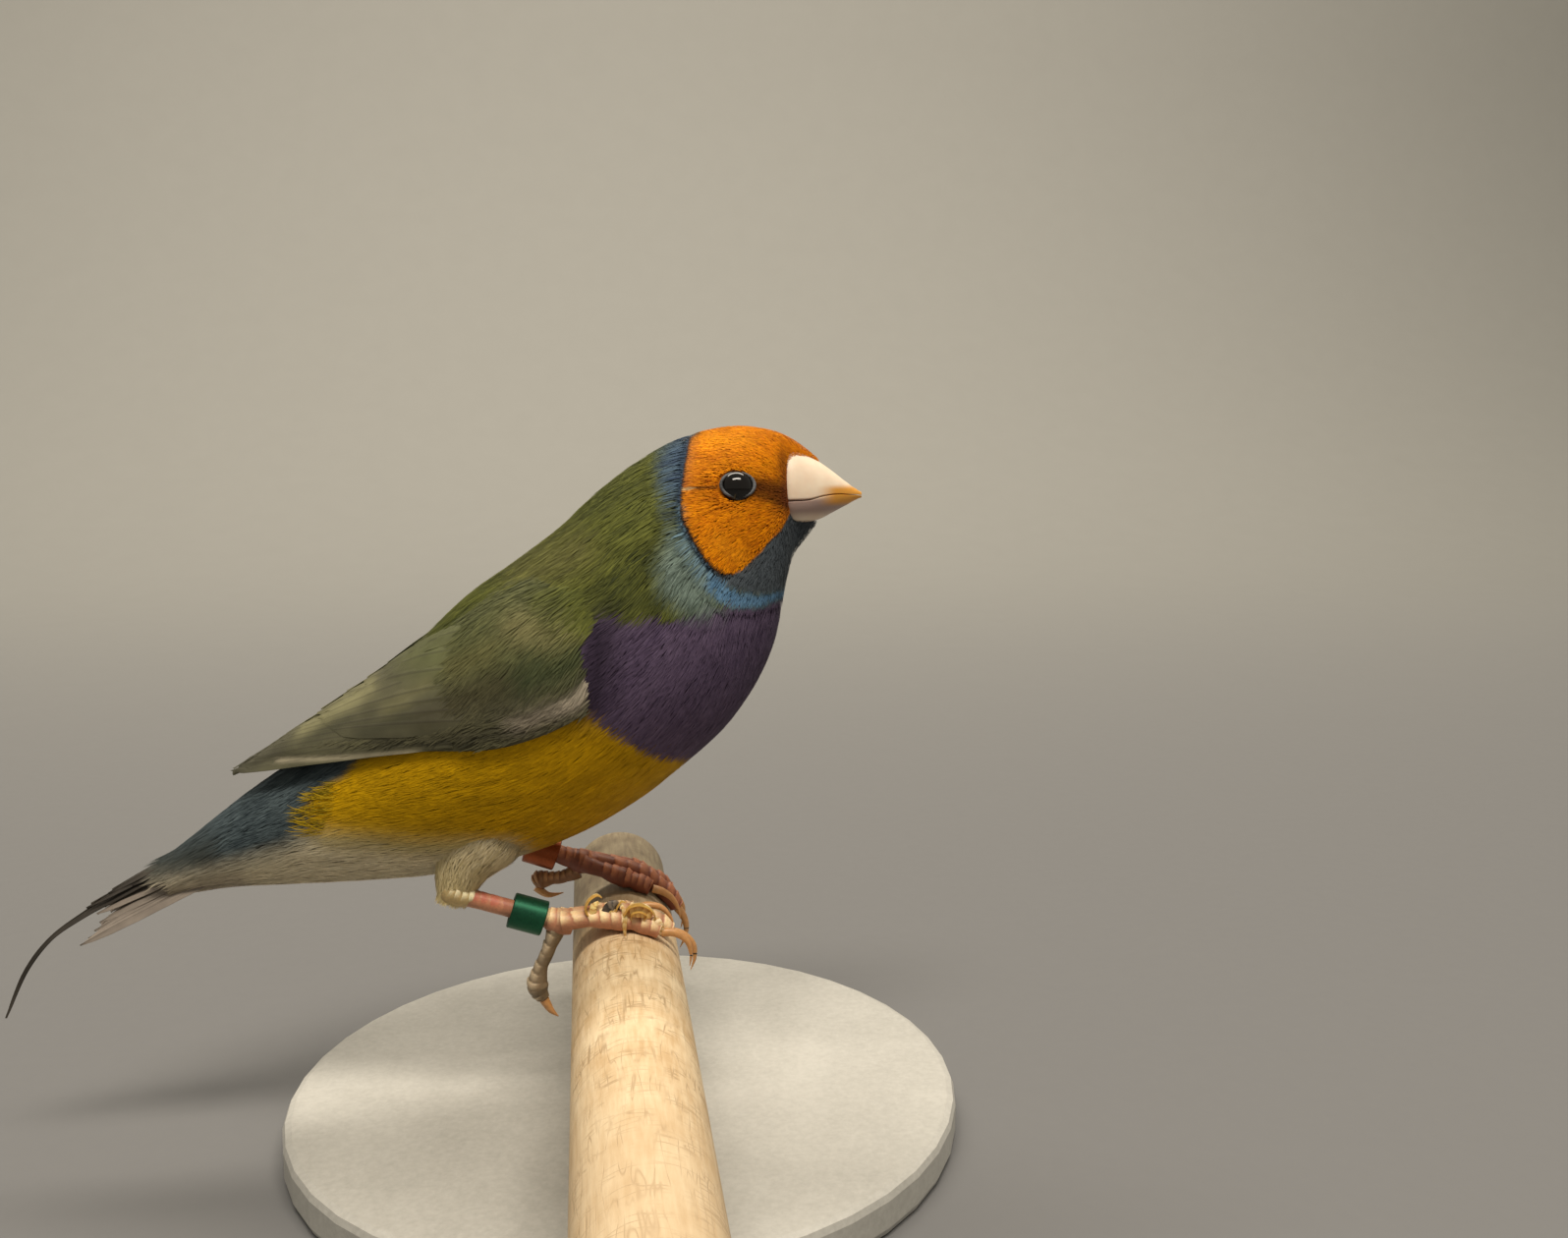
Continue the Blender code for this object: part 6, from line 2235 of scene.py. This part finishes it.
@dataclass(frozen=True)
class PerchFinish:
    """A bare beech rod, worn smooth by feet: long pale grain, fine checks along and across, and painted shade that
    greys and darkens its far end.
    """

    pale: str = "EBD5B0"
    tan: str = "CBAB7E"
    check: str = "94754F"
    # the dark and pale colours of the painted shade at the far end
    far_end_shade: str = "62584A"
    far_end_shade_pale: str = "92856A"
    close: str = "C4AC8A"
    # the sizes of its patterns, in millimetres
    fibre: float = 0.7143
    mottle: float = 6.25
    crack: float = 1.111
    patch: float = 3.846

    def material(self) -> Material:
        """Makes the material.

        Returns:
            The material.
        """
        material, tree, shader, where = begun("worn_bare_beech_rod")
        long = add(tree, "Mapping", {"Vector": where, "Scale": (1.0, 0.12, 1.0)})
        grain = add(tree, "TexNoise", {"Vector": long, "Scale": 1 / (self.fibre * MM), "Detail": 5.0, "Roughness": 0.6})
        soft = add(tree, "TexNoise", {"Vector": where, "Scale": 1 / (self.mottle * MM), "Detail": 4.0})
        total = add(tree, "Math", {0: grain, 1: soft}, operation="ADD")
        share = add(tree, "MapRange", {"Value": total, "From Min": 0.75, "From Max": 1.25})
        base = add(tree, "Mix", {0: share, 6: linear(self.tan), 7: linear(self.pale)}, data_type="RGBA")
        lines = []
        for scale in ((1.0, 0.1, 1.0), (0.16, 1.0, 0.16)):
            laid = add(tree, "Mapping", {"Vector": where, "Scale": scale})
            wave = add(tree, "TexNoise", {"Vector": laid, "Scale": 1 / (self.crack * MM), "Detail": 1.0})
            off = add(tree, "Math", {0: wave, 1: 0.5}, operation="SUBTRACT")
            size = add(tree, "Math", {0: off}, operation="ABSOLUTE")
            lines.append(add(tree, "MapRange", {"Value": size, "From Max": 0.035, "To Min": 1.0, "To Max": 0.0}))
        crack = add(tree, "Math", {0: lines[0], 1: lines[1]}, operation="MAXIMUM")
        patch = add(tree, "TexNoise", {"Vector": where, "Scale": 1 / (self.patch * MM), "Detail": 2.0})
        some = add(tree, "MapRange", {"Value": patch, "From Min": 0.42, "From Max": 0.62})
        weight = add(tree, "Math", {0: crack, 1: some}, operation="MULTIPLY")
        faint = add(tree, "Math", {0: weight, 1: 0.7}, operation="MULTIPLY")
        mixed = add(tree, "Mix", {0: faint, 6: base, 7: linear(self.check)}, data_type="RGBA")
        axes = add(tree, "SeparateXYZ", {0: where})
        # painted shade: towards its far end the rod turns greyer and darker; the mix named worn holds this shade, not
        # wear
        far_end_shade = add(
            tree, "MapRange", {"Value": axes.outputs["Y"], "From Min": -0.006, "From Max": 0.012, "To Max": 0.82},
            interpolation_type="SMOOTHSTEP"
        )
        grey = add(tree, "Mix", {0: share, 6: linear(self.far_end_shade), 7: linear(self.far_end_shade_pale)}, data_type="RGBA")
        worn = add(tree, "Mix", {0: far_end_shade, 6: mixed, 7: grey}, data_type="RGBA")
        reach = add(
            tree, "MapRange", {"Value": axes.outputs["Y"], "From Min": -0.03, "From Max": -0.08, "To Max": 0.6},
            interpolation_type="SMOOTHSTEP"
        )
        whole = add(tree, "Mix", {0: reach, 6: worn, 7: linear(self.close)}, data_type="RGBA")
        rough = add(tree, "MapRange", {"Value": grain, "To Min": 0.55, "To Max": 0.8})
        depth = add(tree, "Math", {0: grain, 1: faint}, operation="SUBTRACT")
        bump = add(tree, "Bump", {"Height": depth, "Strength": 0.5, "Distance": 0.00012})
        feed(shader, {"Base Color": whole, "Roughness": rough, "Normal": bump})
        return material


def dress_kept_nodes() -> None:
    """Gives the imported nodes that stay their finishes."""
    finishes = {
        "stand_base": PlainFinish("honed_pale_stone", "BFBDB6", "A9A7A0", 0.8, roughness=0.55).material(),
        "stand_rod": PlainFinish(
            "brushed_steel_rod", "A6A49E", "7E7C76", 0.12, (1.0, 1.0, 0.08), 0.35, 1.0, 0.2
        ).material()
    }
    for name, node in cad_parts.items():
        for key, material in finishes.items():
            if name.startswith(key):
                node.data.materials.clear()
                node.data.materials.append(material)


@dataclass(frozen=True)
class Studio:
    """The plain pale sweep, the soft lamps and the camera at the photograph's place."""

    sweep_half: float = 1.6
    sweep_depth: float = 1.1
    sweep_rise: float = 1.4
    bend: float = 0.5
    lens: float = 31.58
    sensor: float = 36.0
    eye: Point = (-4.7, -193.0, 68.1)
    yaw: float = 8.254
    pitch: float = 7.849

    def build(self) -> None:
        """Makes the floor, the light and the camera."""
        scene = bpy.context.scene
        sweep = bmesh.new()
        first = sweep.verts.new((-self.sweep_half, -2.5 * self.sweep_depth, 0))
        path = [(self.sweep_depth - self.bend, 0.0)]
        for a in np.linspace(0, math.pi / 2, 16)[1:]:
            path.append((self.sweep_depth - self.bend * (1 - math.sin(a)), self.bend * (1 - math.cos(a))))
        path.append((self.sweep_depth, self.sweep_rise))
        line = [first, *(sweep.verts.new((-self.sweep_half, y, z)) for y, z in path)]
        edges = [sweep.edges.new(pair) for pair in zip(line, line[1:])]
        grown = bmesh.ops.extrude_edge_only(sweep, edges=edges)["geom"]
        verts = [v for v in grown if isinstance(v, bmesh.types.BMVert)]
        bmesh.ops.translate(sweep, vec=(2 * self.sweep_half, 0, 0), verts=verts)
        bmesh.ops.recalc_face_normals(sweep, faces=sweep.faces)
        mesh = bpy.data.meshes.new("sweep")
        sweep.to_mesh(mesh)
        sweep.free()
        mesh.shade_smooth()
        floor = bpy.data.objects.new("sweep", mesh)
        scene.collection.objects.link(floor)
        mesh.materials.append(self.paper())
        self.lamp("key", (0.02, -0.3, 0.72), (0.0, 0.0, 0.09), (0.55, 0.13), 5.2)
        self.lamp("sweep_light", (0.0, 0.5, 1.2), (0.0, 0.9, 0.4), (1.4, 0.4), 17.0)
        world = bpy.data.worlds.new("studio")
        world.use_nodes = True
        world.node_tree.nodes["Background"].inputs[0].default_value = linear("DDD6C6")
        world.node_tree.nodes["Background"].inputs[1].default_value = 0.48
        scene.world = world
        scene.view_settings.view_transform = "Standard"
        self.camera()

    def paper(self) -> Material:
        """Makes the matt paper of the sweep, darker in front than up behind as painted shade.

        Returns:
            The material.
        """
        finish = PlainFinish("matt_paper_sweep", "969590", "92918C", 3.0, roughness=0.9, bump=0.02, contrast=0.6)
        material = finish.material()
        tree = material.node_tree
        shader = tree.nodes["Principled BSDF"]
        plain = shader.inputs["Base Color"].links[0].from_socket
        axes = add(tree, "SeparateXYZ", {0: add(tree, "TexCoord").outputs["Object"]})
        # painted shade: the paper darkens towards the front of the floor
        reach = {"Value": axes.outputs["Y"], "From Min": 0.9, "From Max": 0.0, "To Max": 0.9}
        front = add(tree, "MapRange", reach, interpolation_type="SMOOTHSTEP")
        mixed = add(tree, "Mix", {0: front, 6: plain, 7: linear("6C6C6D")}, data_type="RGBA")
        feed(shader, {"Base Color": mixed})
        return material

    def lamp(self, name: str, at: tuple, to: tuple, size: Spot, power: float) -> None:
        """Adds a soft oblong lamp.

        Args:
            name: its name.
            at: its place in metres.
            to: the spot that it points at.
            size: its width and height.
            power: its watts.
        """
        light = bpy.data.lights.new(name, "AREA")
        light.shape = "RECTANGLE"
        light.size, light.size_y = size
        light.energy = power
        light.color = linear("FFF5E6")[:3]
        lamp = bpy.data.objects.new(name, light)
        turn = (Vector(at) - Vector(to)).to_track_quat("Z", "Y").to_matrix().to_4x4()
        lamp.matrix_world = Matrix.Translation(at) @ turn
        bpy.context.scene.collection.objects.link(lamp)

    def camera(self) -> None:
        """Sets the camera of the photograph."""
        data = bpy.data.cameras.new("camera")
        data.sensor_width = self.sensor
        data.lens = self.lens
        data.clip_start = 0.005
        yaw, pitch = math.radians(self.yaw), math.radians(self.pitch)
        forward = Vector((math.sin(yaw) * math.cos(pitch), math.cos(yaw) * math.cos(pitch), -math.sin(pitch)))
        right = forward.cross(Vector((0, 0, 1))).normalized()
        up = right.cross(forward)
        turn = Matrix((right, up, -forward)).transposed().to_4x4()
        camera = bpy.data.objects.new("camera", data)
        at = Vector(Place.row(np.array(self.eye)))
        camera.matrix_world = Matrix.Translation(at) @ turn
        bpy.context.scene.collection.objects.link(camera)
        bpy.context.scene.camera = camera


def main() -> None:
    """Builds the finch, its perch and its setting."""
    logging.basicConfig(level=logging.INFO, format="%(name)s: %(message)s")
    Studio().build()
    plumage = Plumage()
    plumage.build_skin()
    plumage.build_coat()
    for leg in LEGS:
        Thigh(leg).build()
        leg.build()
    EYE.build()
    BillForm().build()
    WingForm().build()
    TailForm().build()
    PerchForm().build()
    dress_kept_nodes()


if __name__ == "__main__":
    main()
